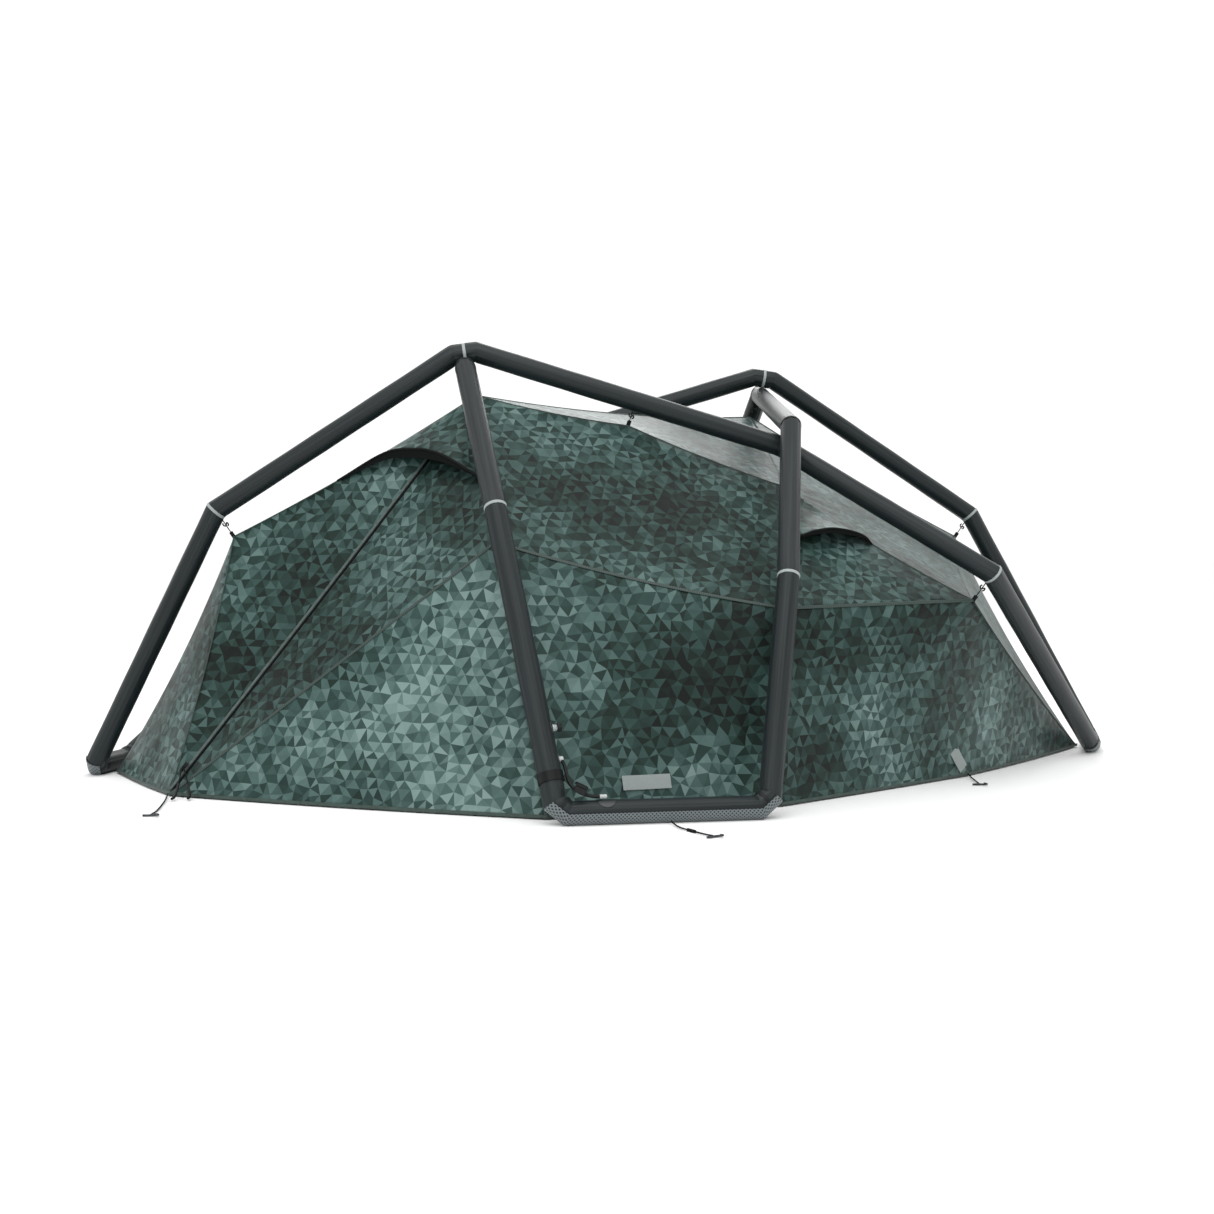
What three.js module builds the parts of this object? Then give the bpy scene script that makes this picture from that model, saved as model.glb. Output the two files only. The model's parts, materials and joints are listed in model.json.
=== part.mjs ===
// Two-person tent on an inflatable frame: two closed rings of air tube carry a fly over a groundsheet.
// The whole tent turns onto itself in half a turn about Z, so most parts come in a front and a back copy.
import * as THREE from "three";

// Driving dimensions, in millimetres.
const TUBE_RADIUS = 30;
const TUBE_SIDES = 16;
const MITRE_GAP = 0.4;
const FOOT = TUBE_RADIUS * Math.cos(Math.PI / TUBE_SIDES);
const CLOTH = 4;
const SEAM_GAP = 3;
const GROUND = 7;

// Bends of the long arch, which runs from the left foot to the right foot.
const ARCH = {
  leftFoot: [-1605, -85, FOOT],
  leftElbow: [-1235, -235, 780],
  apex: [-525, -290, 1250],
  crossing: [395, -395, 970],
  rightElbow: [925, -705, 600],
  rightFoot: [1530, -85, FOOT],
};

// Bends of the hoop's front half: it passes under the arch's apex and over its crossing.
const HOOP = {
  underApex: [-524, -345, 1185],
  leftKnee: [-480, -785, 780],
  leftCorner: [-360, -1115, FOOT],
  rightCorner: [175, -1105, FOOT],
  rightKnee: [285, -880, 600],
  overCrossing: [411, -448, 1026],
};

// Corners of the fly's front half.
const FLY = {
  leftShoulder: [-1185, -240, 705],
  peak: [-490, -340, 1110],
  ridge: [-49, -335, 1029],
  leftSeam: [-435, -780, 660],
  rightSeam: [285, -850, 515],
  saddle: [415, -380, 850],
  rightShoulder: [885, -665, 525],
  leftHem: [-1345, -515, GROUND],
  midHem: [-378, -1041, GROUND],
  rightHem: [250, -948, GROUND],
  pegHem: [934, -518, GROUND],
  endHem: [-1545, -50, GROUND],
};
const ZIP_TOP = 0.18;
const INSIDE = new THREE.Vector3(0, 0, 420);

const tent = new THREE.Group();

// Finishes: coated air-tube cloth, printed fly cloth, groundsheet and moulded fittings.
function finish(color, roughness, metalness = 0) {
  return new THREE.MeshStandardMaterial({ color, roughness, metalness });
}
const tubeCloth = finish(0x33393b, 0.6);
const flyCloth = finish(0x3c5a52, 0.7);
const flapCloth = finish(0x35524b, 0.7);
const hoodCloth = finish(0x2d4741, 0.7);
const floorCloth = finish(0x2b2f31, 0.75);
const moulded = finish(0x17191a, 0.45);
const greyMoulded = finish(0x8d9594, 0.5);
const cordBlack = finish(0x1b1d1e, 0.8);
const pegMetal = finish(0x2a2c2e, 0.4, 0.8);

function vec(point) {
  return new THREE.Vector3(...point);
}

function halfTurn(point) {
  return [-point[0], -point[1], point[2]];
}

function mix(a, b, t) {
  return a.map((value, i) => value + (b[i] - value) * t);
}

function addMesh(name, geometry, material) {
  const mesh = new THREE.Mesh(geometry, material);
  mesh.name = name;
  tent.add(mesh);
  return mesh;
}

function meshFromTriangles(corners, triangles) {
  const geometry = new THREE.BufferGeometry();
  geometry.setAttribute("position", new THREE.Float32BufferAttribute(corners.flat(), 3));
  geometry.setIndex(triangles.flat());
  geometry.computeVertexNormals();
  return geometry;
}

// The plane that halves the angle at a bend, or squares off an end.
function mitrePlane(before, at, after) {
  const into = vec(at).sub(vec(before)).normalize();
  const out = vec(after).sub(vec(at)).normalize();
  return { point: vec(at), normal: into.add(out).normalize() };
}

// A straight air tube from a to b, each end cut along its mitre plane and held back by half a gap.
function tubeGeometry(a, b, planeA, planeB) {
  const start = vec(a);
  const axis = vec(b).sub(start);
  const length = axis.length();
  axis.normalize();
  const up = new THREE.Vector3(0, 0, 1);
  const side = new THREE.Vector3().crossVectors(axis, up).normalize();
  const top = new THREE.Vector3().crossVectors(side, axis);
  const frame = new THREE.Matrix4().makeBasis(side, axis, top);
  const geometry = new THREE.CylinderGeometry(TUBE_RADIUS, TUBE_RADIUS, length, TUBE_SIDES);
  geometry.rotateY(Math.PI / TUBE_SIDES);
  geometry.applyMatrix4(frame);
  const middle = start.clone().addScaledVector(axis, length / 2);
  geometry.translate(middle.x, middle.y, middle.z);
  const position = geometry.attributes.position;
  const corner = new THREE.Vector3();
  for (let i = 0; i < position.count; i += 1) {
    corner.fromBufferAttribute(position, i);
    const atStart = corner.clone().sub(start).dot(axis) < length / 2;
    const plane = atStart ? planeA : planeB;
    const reach = plane.point.clone().sub(corner).dot(plane.normal) / axis.dot(plane.normal);
    const back = atStart ? MITRE_GAP / 2 : -MITRE_GAP / 2;
    corner.addScaledVector(axis, reach + back / axis.dot(plane.normal));
    position.setXYZ(i, corner.x, corner.y, corner.z);
  }
  geometry.computeVertexNormals();
  return geometry;
}

// A closed ring of air tubes through the bends of one half and their half-turn images.
function addRing(bends, names) {
  const loop = [...bends, ...bends.map(halfTurn)];
  const count = loop.length;
  names.forEach((name, i) => {
    const a = loop[i];
    const b = loop[(i + 1) % count];
    const planeA = mitrePlane(loop[(i + count - 1) % count], a, b);
    const planeB = mitrePlane(a, b, loop[(i + 2) % count]);
    addMesh(name, tubeGeometry(a, b, planeA, planeB), tubeCloth);
  });
}

function ringNames(half) {
  return [...half.map((name) => `front_${name}`), ...half.map((name) => `back_${name}`)];
}

addRing(
  Object.values(ARCH),
  ringNames(["arch_left_leg", "arch_left_rise", "arch_ridge", "arch_slope", "arch_right_leg", "foot_bar"]),
);
addRing(
  Object.values(HOOP),
  ringNames(["hoop_left_thigh", "hoop_left_leg", "ground_bar", "hoop_right_leg", "hoop_right_thigh", "hoop_top"]),
);

// A cloth panel of one or more triangles, drawn in from its seams and thickened towards the inside.
function panelGeometry(corners, faces, lift = 0) {
  const points = corners.map(vec);
  const centre = new THREE.Vector3();
  points.forEach((point) => centre.addScaledVector(point, 1 / points.length));
  const normals = points.map(() => new THREE.Vector3());
  const turned = faces.map(([i, j, k]) => {
    const normal = new THREE.Vector3().crossVectors(
      points[j].clone().sub(points[i]),
      points[k].clone().sub(points[i]),
    );
    normal.normalize();
    const outward = points[i].clone().sub(INSIDE).dot(normal) > 0;
    const face = outward ? [i, j, k] : [i, k, j];
    if (!outward) normal.negate();
    face.forEach((corner) => normals[corner].add(normal));
    return face;
  });
  const edges = turned.flatMap(([i, j, k]) => [[i, j], [j, k], [k, i]]);
  const rim = edges.filter(([i, j]) => !edges.some(([p, q]) => p === j && q === i));
  const reach = Math.min(
    ...rim.map(([i, j]) => {
      const along = points[j].clone().sub(points[i]).normalize();
      const offset = centre.clone().sub(points[i]);
      return offset.addScaledVector(along, -offset.dot(along)).length();
    }),
  );
  const outer = points.map((point, i) => {
    const drawn = point.clone().lerp(centre, SEAM_GAP / reach);
    return drawn.addScaledVector(normals[i].normalize(), lift);
  });
  const inner = outer.map((point, i) => point.clone().addScaledVector(normals[i], -CLOTH));
  const n = points.length;
  const triangles = [
    ...turned,
    ...turned.map(([i, j, k]) => [i + n, k + n, j + n]),
    ...rim.flatMap(([i, j]) => [[j, i, i + n], [j, i + n, j + n]]),
  ];
  return meshFromTriangles([...outer, ...inner].map((point) => point.toArray()), triangles);
}

const zipTop = mix(FLY.peak, FLY.leftHem, ZIP_TOP);
const backOf = (corner) => halfTurn(FLY[corner]);

// Each panel: its name, its cloth, its corners in the front half, its triangles and how far it stands off.
const PANELS = [
  ["side_panel", flyCloth, [FLY.leftShoulder, FLY.peak, FLY.leftHem], [[0, 1, 2]]],
  ["door_gore", flyCloth, [FLY.peak, FLY.leftSeam, FLY.midHem, zipTop], [[0, 1, 3], [1, 2, 3]]],
  ["door_flap", flapCloth, [zipTop, FLY.midHem, FLY.leftHem], [[0, 1, 2]]],
  [
    "upper_wall",
    flyCloth,
    [FLY.peak, FLY.leftSeam, FLY.rightSeam, FLY.saddle, FLY.ridge],
    [[0, 1, 4], [1, 2, 4], [2, 3, 4]],
  ],
  [
    "lower_wall",
    flyCloth,
    [FLY.leftSeam, FLY.midHem, FLY.rightHem, FLY.rightSeam],
    [[0, 1, 2], [0, 2, 3]],
  ],
  ["upper_corner", flyCloth, [FLY.rightSeam, FLY.saddle, FLY.rightShoulder], [[0, 1, 2]]],
  [
    "lower_corner",
    flyCloth,
    [FLY.rightSeam, FLY.rightHem, FLY.pegHem, backOf("endHem"), FLY.rightShoulder],
    [[0, 1, 4], [1, 2, 4], [2, 3, 4]],
  ],
  [
    "end_wall",
    flyCloth,
    [FLY.leftShoulder, FLY.leftHem, FLY.endHem, backOf("rightShoulder")],
    [[0, 1, 2], [0, 2, 3]],
  ],
  [
    "roof_side",
    flyCloth,
    [FLY.leftShoulder, FLY.peak, backOf("saddle"), backOf("rightShoulder")],
    [[0, 1, 3], [1, 2, 3]],
  ],
  [
    "roof_middle",
    flyCloth,
    [FLY.peak, FLY.ridge, FLY.saddle, backOf("peak")],
    [[0, 1, 3], [1, 2, 3]],
  ],
  [
    "door_hood",
    hoodCloth,
    [mix(FLY.leftShoulder, FLY.peak, 0.45), FLY.peak, mix(FLY.peak, FLY.leftSeam, 0.3)],
    [[0, 1, 2]],
    16,
  ],
];

for (const [name, material, corners, faces, lift] of PANELS) {
  addMesh(`front_${name}`, panelGeometry(corners, faces, lift), material);
  addMesh(`back_${name}`, panelGeometry(corners.map(halfTurn), faces, lift), material);
}
// Groundsheet: a flat floor over the cabin, inside the hem.
const FLOOR_FRONT = [[-1180, -400], [-380, -680], [300, -640], [1180, -230]];
const FLOOR_LOW = 1;
const FLOOR_THICK = 4;

function floorGeometry() {
  const outline = [...FLOOR_FRONT, ...FLOOR_FRONT.map(([x, y]) => [-x, -y])];
  const shape = new THREE.Shape(outline.map(([x, y]) => new THREE.Vector2(x, y)));
  const geometry = new THREE.ExtrudeGeometry(shape, { depth: FLOOR_THICK, bevelEnabled: false });
  return geometry.translate(0, 0, FLOOR_LOW);
}

addMesh("groundsheet", floorGeometry(), floorCloth);

// A frame with its Y along a direction and its Z as near to up as it can be.
function placed(geometry, at, direction) {
  const axis = vec(direction).normalize();
  const side = new THREE.Vector3().crossVectors(axis, new THREE.Vector3(0, 0, 1)).normalize();
  const top = new THREE.Vector3().crossVectors(side, axis);
  geometry.applyMatrix4(new THREE.Matrix4().makeBasis(side, axis, top));
  return geometry.translate(...at);
}

// Zip slider: a small moulded block with its pull, on the outer face of the door's zip.
const SLIDER = { width: 12, length: 34, height: 8, standOff: 9, aside: 9, along: 0.93 };

function addSlider(name, turn) {
  const top = turn(zipTop);
  const foot = turn(FLY.leftHem);
  const along = vec(foot).sub(vec(top)).normalize();
  const outward = new THREE.Vector3()
    .crossVectors(vec(turn(FLY.midHem)).sub(vec(top)), along)
    .normalize();
  if (outward.dot(vec(foot).sub(INSIDE)) < 0) outward.negate();
  const side = new THREE.Vector3().crossVectors(along, outward);
  const at = vec(mix(top, foot, SLIDER.along)).addScaledVector(outward, SLIDER.standOff);
  at.addScaledVector(side, side.dot(vec(turn(FLY.midHem)).sub(at)) < 0 ? SLIDER.aside : -SLIDER.aside);
  const block = new THREE.BoxGeometry(SLIDER.width, SLIDER.length, SLIDER.height);
  block.applyMatrix4(new THREE.Matrix4().makeBasis(side, along, outward));
  addMesh(name, block.translate(at.x, at.y, at.z), moulded);
}

addSlider("front_zip_slider", (point) => point);
addSlider("back_zip_slider", halfTurn);

// Inflation valve on the inner side of the front left leg, with its screw cap.
const legFoot = vec(HOOP.leftCorner);
const legAxis = vec(HOOP.leftKnee).sub(legFoot).normalize();
const legSide = new THREE.Vector3(1, 0, 0).addScaledVector(legAxis, -legAxis.x).normalize();
const VALVE = { up: 215, bodyRadius: 10, bodyLength: 11, capRadius: 11.5, capLength: 11 };

function onLeg(up, out) {
  return legFoot.clone().addScaledVector(legAxis, up).addScaledVector(legSide, out).toArray();
}

function disc(radius, length, sides) {
  return new THREE.CylinderGeometry(radius, radius, length, sides);
}

const capBase = TUBE_RADIUS + 0.4 + VALVE.bodyLength + 0.4;
addMesh(
  "valve_body",
  placed(
    disc(VALVE.bodyRadius, VALVE.bodyLength, 16),
    onLeg(VALVE.up, TUBE_RADIUS + 0.4 + VALVE.bodyLength / 2),
    legSide.toArray(),
  ),
  greyMoulded,
);
addMesh(
  "valve_cap",
  placed(disc(VALVE.capRadius, VALVE.capLength, 12), onLeg(VALVE.up, capBase + VALVE.capLength / 2), legSide.toArray()),
  moulded,
);

// Air link between the leg and the ground bar: a hose that a pinch clamp can shut.
const HOSE_RADIUS = 4.5;
const HOSE_ROUTE = [
  [-344, -1060, 156],
  [-337, -1066, 140],
  [-333, -1078, 120],
  [-328, -1090, 102],
  [-318, -1101, 88],
  [-303, -1109, 78],
  [-286, -1113, 72],
  [-268, -1115, 69],
  [-250, -1115, 68],
];

// A plain round cord or hose along a smooth curve through hand-set points.
function cordGeometry(route, radius, steps, sides) {
  const outline = new THREE.Shape().absarc(0, 0, radius, 0, 2 * Math.PI);
  const extrudePath = new THREE.CatmullRomCurve3(route.map(vec));
  const section = new THREE.Shape(outline.getSpacedPoints(sides).slice(0, sides));
  return new THREE.ExtrudeGeometry(section, { steps, extrudePath, bevelEnabled: false });
}

addMesh("link_hose", cordGeometry(HOSE_ROUTE, HOSE_RADIUS, 18, 10), moulded);

// The clamp's base stands beside the hose, and its lever closes over it.
const CLAMP = { at: [-306, -1126, 86], base: [30, 10, 16], lever: [34, 26, 6] };

function boxAt(size, at) {
  return new THREE.BoxGeometry(...size).translate(...at);
}

addMesh("clamp_base", boxAt(CLAMP.base, CLAMP.at), moulded);
addMesh(
  "clamp_lever",
  boxAt(CLAMP.lever, [CLAMP.at[0], CLAMP.at[1] + 8, CLAMP.at[2] + CLAMP.base[2] / 2 + 3.6]),
  moulded,
);

// Pegs with their cords, where the hem is staked out.
const CORD_RADIUS = 1.5;
const PEG = { radius: 3.5, length: 60, lean: 0.9 };
const STAKES = {
  left: {
    peg: [-1357, -836, 4],
    route: [
      [-1347, -521, 9],
      [-1346, -560, 7],
      [-1345, -610, 5],
      [-1346, -670, 4],
      [-1347, -726, 4],
      [-1350, -780, 4],
      [-1356, -826, 5],
    ],
  },
  middle: {
    peg: [-19, -1342, 4],
    route: [
      [-84, -1148, 8],
      [-80, -1180, 5],
      [-74, -1215, 4],
      [-60, -1250, 4],
      [-45, -1285, 4],
      [-30, -1315, 4],
      [-22, -1332, 5],
    ],
  },
  right: {
    peg: [899, -692, 4],
    route: [
      [932, -523, 9],
      [928, -545, 7],
      [922, -580, 5],
      [915, -620, 4],
      [908, -655, 4],
      [901, -682, 5],
    ],
  },
};

for (const [name, { peg, route }] of Object.entries(STAKES)) {
  const last = vec(route.at(-1));
  const away = vec(peg).sub(vec(route[0])).setZ(0).normalize();
  const across = new THREE.Vector3(-away.y, away.x, 0);
  const rod = placed(disc(PEG.radius, PEG.length, 8), [0, 0, 0], across.toArray());
  const clear = last.addScaledVector(away, PEG.radius + CORD_RADIUS);
  addMesh(`${name}_peg`, rod.translate(clear.x, clear.y, PEG.radius + 0.3), pegMetal);
  addMesh(`${name}_peg_cord`, cordGeometry(route, CORD_RADIUS, 24, 8), cordBlack);
}

export default tent;
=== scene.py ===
import json
import math
import random

import bmesh
import bpy
import numpy as np
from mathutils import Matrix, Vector, noise
from mathutils.geometry import delaunay_2d_cdt


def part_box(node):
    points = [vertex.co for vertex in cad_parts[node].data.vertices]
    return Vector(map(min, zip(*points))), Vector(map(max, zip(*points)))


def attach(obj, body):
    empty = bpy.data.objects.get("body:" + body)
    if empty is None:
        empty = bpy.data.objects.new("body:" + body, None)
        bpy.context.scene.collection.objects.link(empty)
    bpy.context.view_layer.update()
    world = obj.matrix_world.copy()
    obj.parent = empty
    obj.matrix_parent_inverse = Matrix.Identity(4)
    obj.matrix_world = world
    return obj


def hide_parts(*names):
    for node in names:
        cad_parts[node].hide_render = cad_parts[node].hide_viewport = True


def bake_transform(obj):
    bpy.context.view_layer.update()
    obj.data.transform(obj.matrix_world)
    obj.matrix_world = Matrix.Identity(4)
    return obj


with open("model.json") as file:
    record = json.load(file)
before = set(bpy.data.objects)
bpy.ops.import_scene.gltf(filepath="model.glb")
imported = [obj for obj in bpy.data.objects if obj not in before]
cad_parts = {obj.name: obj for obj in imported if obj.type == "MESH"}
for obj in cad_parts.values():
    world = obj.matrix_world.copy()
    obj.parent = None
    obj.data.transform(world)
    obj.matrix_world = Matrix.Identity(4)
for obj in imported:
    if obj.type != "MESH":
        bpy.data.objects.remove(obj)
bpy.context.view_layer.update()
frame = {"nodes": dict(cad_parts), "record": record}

# Camera: at chest height in front of the left half of the tent, turned a little
# to the right and tipped down, so that the long side shows at an angle.
camera = bpy.data.objects.new("camera", bpy.data.cameras.new("camera"))
camera.location = (-0.8627, -4.966, 0.7053)
camera.rotation_euler = (math.radians(90 - 2.526), 0, math.radians(-9.214))
camera.data.lens = 47.45
camera.data.sensor_width = 36
bpy.context.collection.objects.link(camera)
bpy.context.scene.camera = camera


# Peg cords: thin black braid from the hem to each ground peg. Each lies slack on
# the ground, and the front one comes from under the ground bar with a small
# tensioner on it. They are sewn into the hem, and knotted round their pegs.
def paint(code):
    """A linear colour from its web code."""
    parts = [int(code[i:i + 2], 16) / 255 for i in (1, 3, 5)]
    return [((c + 0.055) / 1.055) ** 2.4 if c > 0.04 else c / 12.92 for c in parts] + [1]


def new_material(name, colour, roughness, **values):
    """A material with its constant finish set on the shader's own sockets."""
    material = bpy.data.materials.new(name)
    material.use_nodes = True
    shader = material.node_tree.nodes["Principled BSDF"]
    shader.inputs["Base Color"].default_value = paint(colour)
    shader.inputs["Roughness"].default_value = roughness
    for socket, value in values.items():
        shader.inputs[socket.replace("_", " ").title().replace("Ior", "IOR")].default_value = value
    return material, shader


def wire(material, kind, inputs, **settings):
    """A shader node; each of its inputs is another node's output, or a value."""
    made = material.node_tree.nodes.new("ShaderNode" + kind)
    for name, value in settings.items():
        setattr(made, name, value)
    for name, value in inputs.items():
        if isinstance(value, bpy.types.NodeSocket):
            material.node_tree.links.new(value, made.inputs[name])
        else:
            made.inputs[name].default_value = value
    return made


def ramp(material, factor, stops):
    """A colour ramp over a factor, from (place, web code) stops."""
    made = wire(material, "ValToRGB", {"Fac": factor})
    elements = made.color_ramp.elements
    while len(elements) < len(stops):
        elements.new(0.5)
    for element, (place, code) in zip(elements, stops):
        element.position = place
        element.color = paint(code)
    return made.outputs["Color"]


def join(material, source, shader, socket):
    material.node_tree.links.new(source, shader.inputs[socket])


def tint(material, shader, factor, stops):
    """Colours a shader from a ramp over a factor."""
    join(material, ramp(material, factor, stops), shader, "Base Color")


def bump(material, shader, height, strength, distance):
    made = wire(material, "Bump", {"Height": height, "Strength": strength, "Distance": distance})
    join(material, made.outputs["Normal"], shader, "Normal")


def object_place(material):
    return wire(material, "TexCoord", {}).outputs["Object"]


def uv_place(material):
    return wire(material, "UVMap", {}).outputs["UV"]


braid, braid_shader = new_material("black_braid", "#0c0d0e", 0.72, specular_ior_level=0.15)
braid_wave = wire(
    braid, "TexWave",
    {"Vector": object_place(braid), "Scale": 260.0, "Distortion": 2.0},
    bands_direction="DIAGONAL",
)
tint(braid, braid_shader, braid_wave.outputs["Fac"], [(0.2, "#060707"), (0.9, "#181b1c")])
bump(braid, braid_shader, braid_wave.outputs["Fac"], 0.5, 0.0004)

PEG_ROUTES = {
    "left": [
        (-1.347, -0.521, 0.009), (-1.346, -0.560, 0.007), (-1.345, -0.610, 0.005), (-1.346, -0.670, 0.004),
        (-1.347, -0.726, 0.004), (-1.350, -0.780, 0.004), (-1.356, -0.826, 0.005),
    ],
    "middle": [
        (-0.084, -1.148, 0.008), (-0.080, -1.180, 0.005), (-0.074, -1.215, 0.004), (-0.060, -1.250, 0.004),
        (-0.045, -1.285, 0.004), (-0.030, -1.315, 0.004), (-0.022, -1.332, 0.005),
    ],
    "right": [
        (0.932, -0.523, 0.009), (0.928, -0.545, 0.007), (0.922, -0.580, 0.005), (0.915, -0.620, 0.004),
        (0.908, -0.655, 0.004), (0.901, -0.682, 0.005),
    ],
}
CORD_THICK = 0.004


def smooth_line(points, steps):
    """A Catmull-Rom line through points, with this many steps for each span."""
    ends = [points[0] * 2 - points[1], *points, points[-1] * 2 - points[-2]]
    line = []
    for a, b, c, d in zip(ends, ends[1:], ends[2:], ends[3:]):
        for step in range(steps):
            t = step / steps
            line.append(
                0.5 * (2 * b + (c - a) * t + (2 * a - 5 * b + 4 * c - d) * t * t + (3 * b - a - 3 * c + d) * t ** 3)
            )
    return line + [points[-1]]


def round_line(name, points, radius, material, body="tent"):
    """A round bar, cord or wire along a line, as one open curve."""
    data = bpy.data.curves.new(name, "CURVE")
    data.dimensions = "3D"
    spline = data.splines.new("POLY")
    spline.points.add(len(points) - 1)
    for spot, point in zip(spline.points, points):
        spot.co = (*point, 1)
    data.bevel_depth = radius
    data.bevel_resolution = 3
    data.use_fill_caps = True
    data.materials.append(material)
    piece = bpy.data.objects.new(name, data)
    bpy.context.collection.objects.link(piece)
    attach(piece, body)
    return piece


def length_of(line):
    return sum((b - a).length for a, b in zip(line, line[1:]))


peg_metal, peg_shader = new_material("blackened_steel", "#17191a", 0.42, metallic=0.6)
peg_wear = wire(peg_metal, "TexNoise", {"Vector": object_place(peg_metal), "Scale": 180.0, "Detail": 4.0})
tint(peg_metal, peg_shader, peg_wear.outputs["Fac"], [(0.35, "#1b1d1e"), (0.75, "#55595b")])

# Ground pegs: short rods of blackened steel wire, bent to a hook at one end. They
# are pushed into the ground, and only the hooked end that holds the cord shows.
for side, route in PEG_ROUTES.items():
    line = smooth_line([Vector(p) for p in route], 5)
    low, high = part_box(f"{side}_peg")
    middle = (low + high) / 2
    away = (line[-1] - line[0]).normalized()
    away.z = 0
    across = Vector((-away.y, away.x, 0)).normalized()
    wire_line = [
        middle + across * a * 0.0007 + away * b * 0.0007 + Vector((0, 0, c * 0.001))
        for a, b, c in (
            (-28, 0, 0), (-14, 2, 0), (0, 0, 0), (12, -1, 0), (22, 2, 0.5), (28, 8, 1.5),
            (27, 14, 3), (21, 17, 4), (16, 13, 4),
        )
    ]
    peg = round_line(f"{side}_peg_wire", smooth_line(wire_line, 4), 0.0028, peg_metal)
    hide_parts(f"{side}_peg")
    cord = round_line(f"{side}_peg_line", line, CORD_THICK / 2, braid)
    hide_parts(f"{side}_peg_cord")
    if side == "middle":
        tensioner = [line[14] + (line[18] - line[14]) * t for t in (0, 0.5, 1)]
        round_line("middle_tensioner", tensioner, 0.0042, braid)

# Air link hose: soft black rubber from the left leg of the front hoop to its
# ground bar. A pinch clamp can shut it, so that each ring holds its own air.
rubber, rubber_shader = new_material("black_rubber", "#0c0e0e", 0.5, specular_ior_level=0.25)
rubber_grain = wire(rubber, "TexNoise", {"Vector": object_place(rubber), "Scale": 420.0, "Detail": 3.0})
tint(rubber, rubber_shader, rubber_grain.outputs["Fac"], [(0.3, "#0a0c0c"), (0.8, "#151819")])
bump(rubber, rubber_shader, rubber_grain.outputs["Fac"], 0.2, 0.0003)
HOSE_ROUTE = [
    (-0.344, -1.060, 0.156), (-0.337, -1.066, 0.140), (-0.333, -1.078, 0.120), (-0.328, -1.090, 0.102),
    (-0.318, -1.101, 0.088), (-0.303, -1.109, 0.078), (-0.286, -1.113, 0.072), (-0.268, -1.115, 0.069),
    (-0.250, -1.115, 0.068),
]
HOSE_THICK = 0.009
hose_line = smooth_line([Vector(p) for p in HOSE_ROUTE], 4)
hose = round_line("air_link_hose", hose_line, HOSE_THICK / 2, rubber)
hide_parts("link_hose")

# Air tubes: sleeves of coated charcoal nylon round an inflated bladder. They are
# sewn into two closed rings, the long arch and the hoop, with a mitred seam at
# every bend and three welded seams along each sleeve.
ARCH_TUBES = ["arch_left_leg", "arch_left_rise", "arch_ridge", "arch_slope", "arch_right_leg", "foot_bar"]
HOOP_TUBES = ["hoop_left_thigh", "hoop_left_leg", "ground_bar", "hoop_right_leg", "hoop_right_thigh", "hoop_top"]
TUBE_RADIUS = 0.0298
TUBE_SIDES = 66
# Bends that are cut twice, named by the tube that starts there, and how far out.
DOUBLE_BENDS = {
    "arch_ridge": 0.036, "ground_bar": 0.027, "hoop_right_leg": 0.028, "arch_left_leg": 0.022, "foot_bar": 0.022,
}

sleeve, sleeve_shader = new_material(
    "air_tube_nylon", "#151a1b", 0.38, sheen_weight=0.02, sheen_roughness=0.4, specular_ior_level=0.26,
)
sleeve_uv = uv_place(sleeve)
sleeve_weave = wire(sleeve, "TexChecker", {"Vector": sleeve_uv, "Scale": 900.0})
sleeve_stretched = wire(sleeve, "Mapping", {"Vector": sleeve_uv, "Scale": (2.5, 130.0, 1.0)})
sleeve_cloud = wire(sleeve, "TexNoise", {"Vector": sleeve_stretched.outputs["Vector"], "Scale": 1.0, "Detail": 3.0})
sleeve_tone = wire(sleeve, "MapRange", {"Value": sleeve_cloud.outputs["Fac"], "From Min": 0.3, "From Max": 0.7})
tint(sleeve, sleeve_shader, sleeve_tone.outputs["Result"], [(0.0, "#101617"), (1.0, "#20282a")])
bump(sleeve, sleeve_shader, sleeve_weave.outputs["Fac"], 0.12, 0.0003)


def tube_ends(node):
    """The centres of a CAD tube's two ends."""
    points = np.unique(np.round([v.co for v in frame["nodes"][node].data.vertices], 4), axis=0)
    centre = points.mean(0)
    far = points[np.argmax(((points - centre) ** 2).sum(1))] - centre
    ahead = (points - centre) @ far > 0
    return Vector(points[ahead].mean(0)), Vector(points[~ahead].mean(0))


def ring_bends(tubes):
    """The ring's tubes in order, and the bend where each of them starts."""
    names = [f"{half}_{tube}" for half in ("front", "back") for tube in tubes]
    ends = [tube_ends(name) for name in names]
    bends = []
    for before, after in zip(ends[-1:] + ends[:-1], ends):
        a, b = min(((p, q) for p in before for q in after), key=lambda pair: (pair[0] - pair[1]).length)
        bends.append((a + b) / 2)
    return names, bends


def stations(length):
    """Distances along a straight stretch, closer together near its two ends."""
    near = [s for s in (0, 0.003, 0.008, 0.018, 0.035, 0.06) if s < length * 0.4]
    rest = length - 2 * near[-1]
    count = max(1, round(rest / 0.05))
    return near + [near[-1] + rest * k / count for k in range(1, count)] + [length - s for s in reversed(near)]


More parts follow.
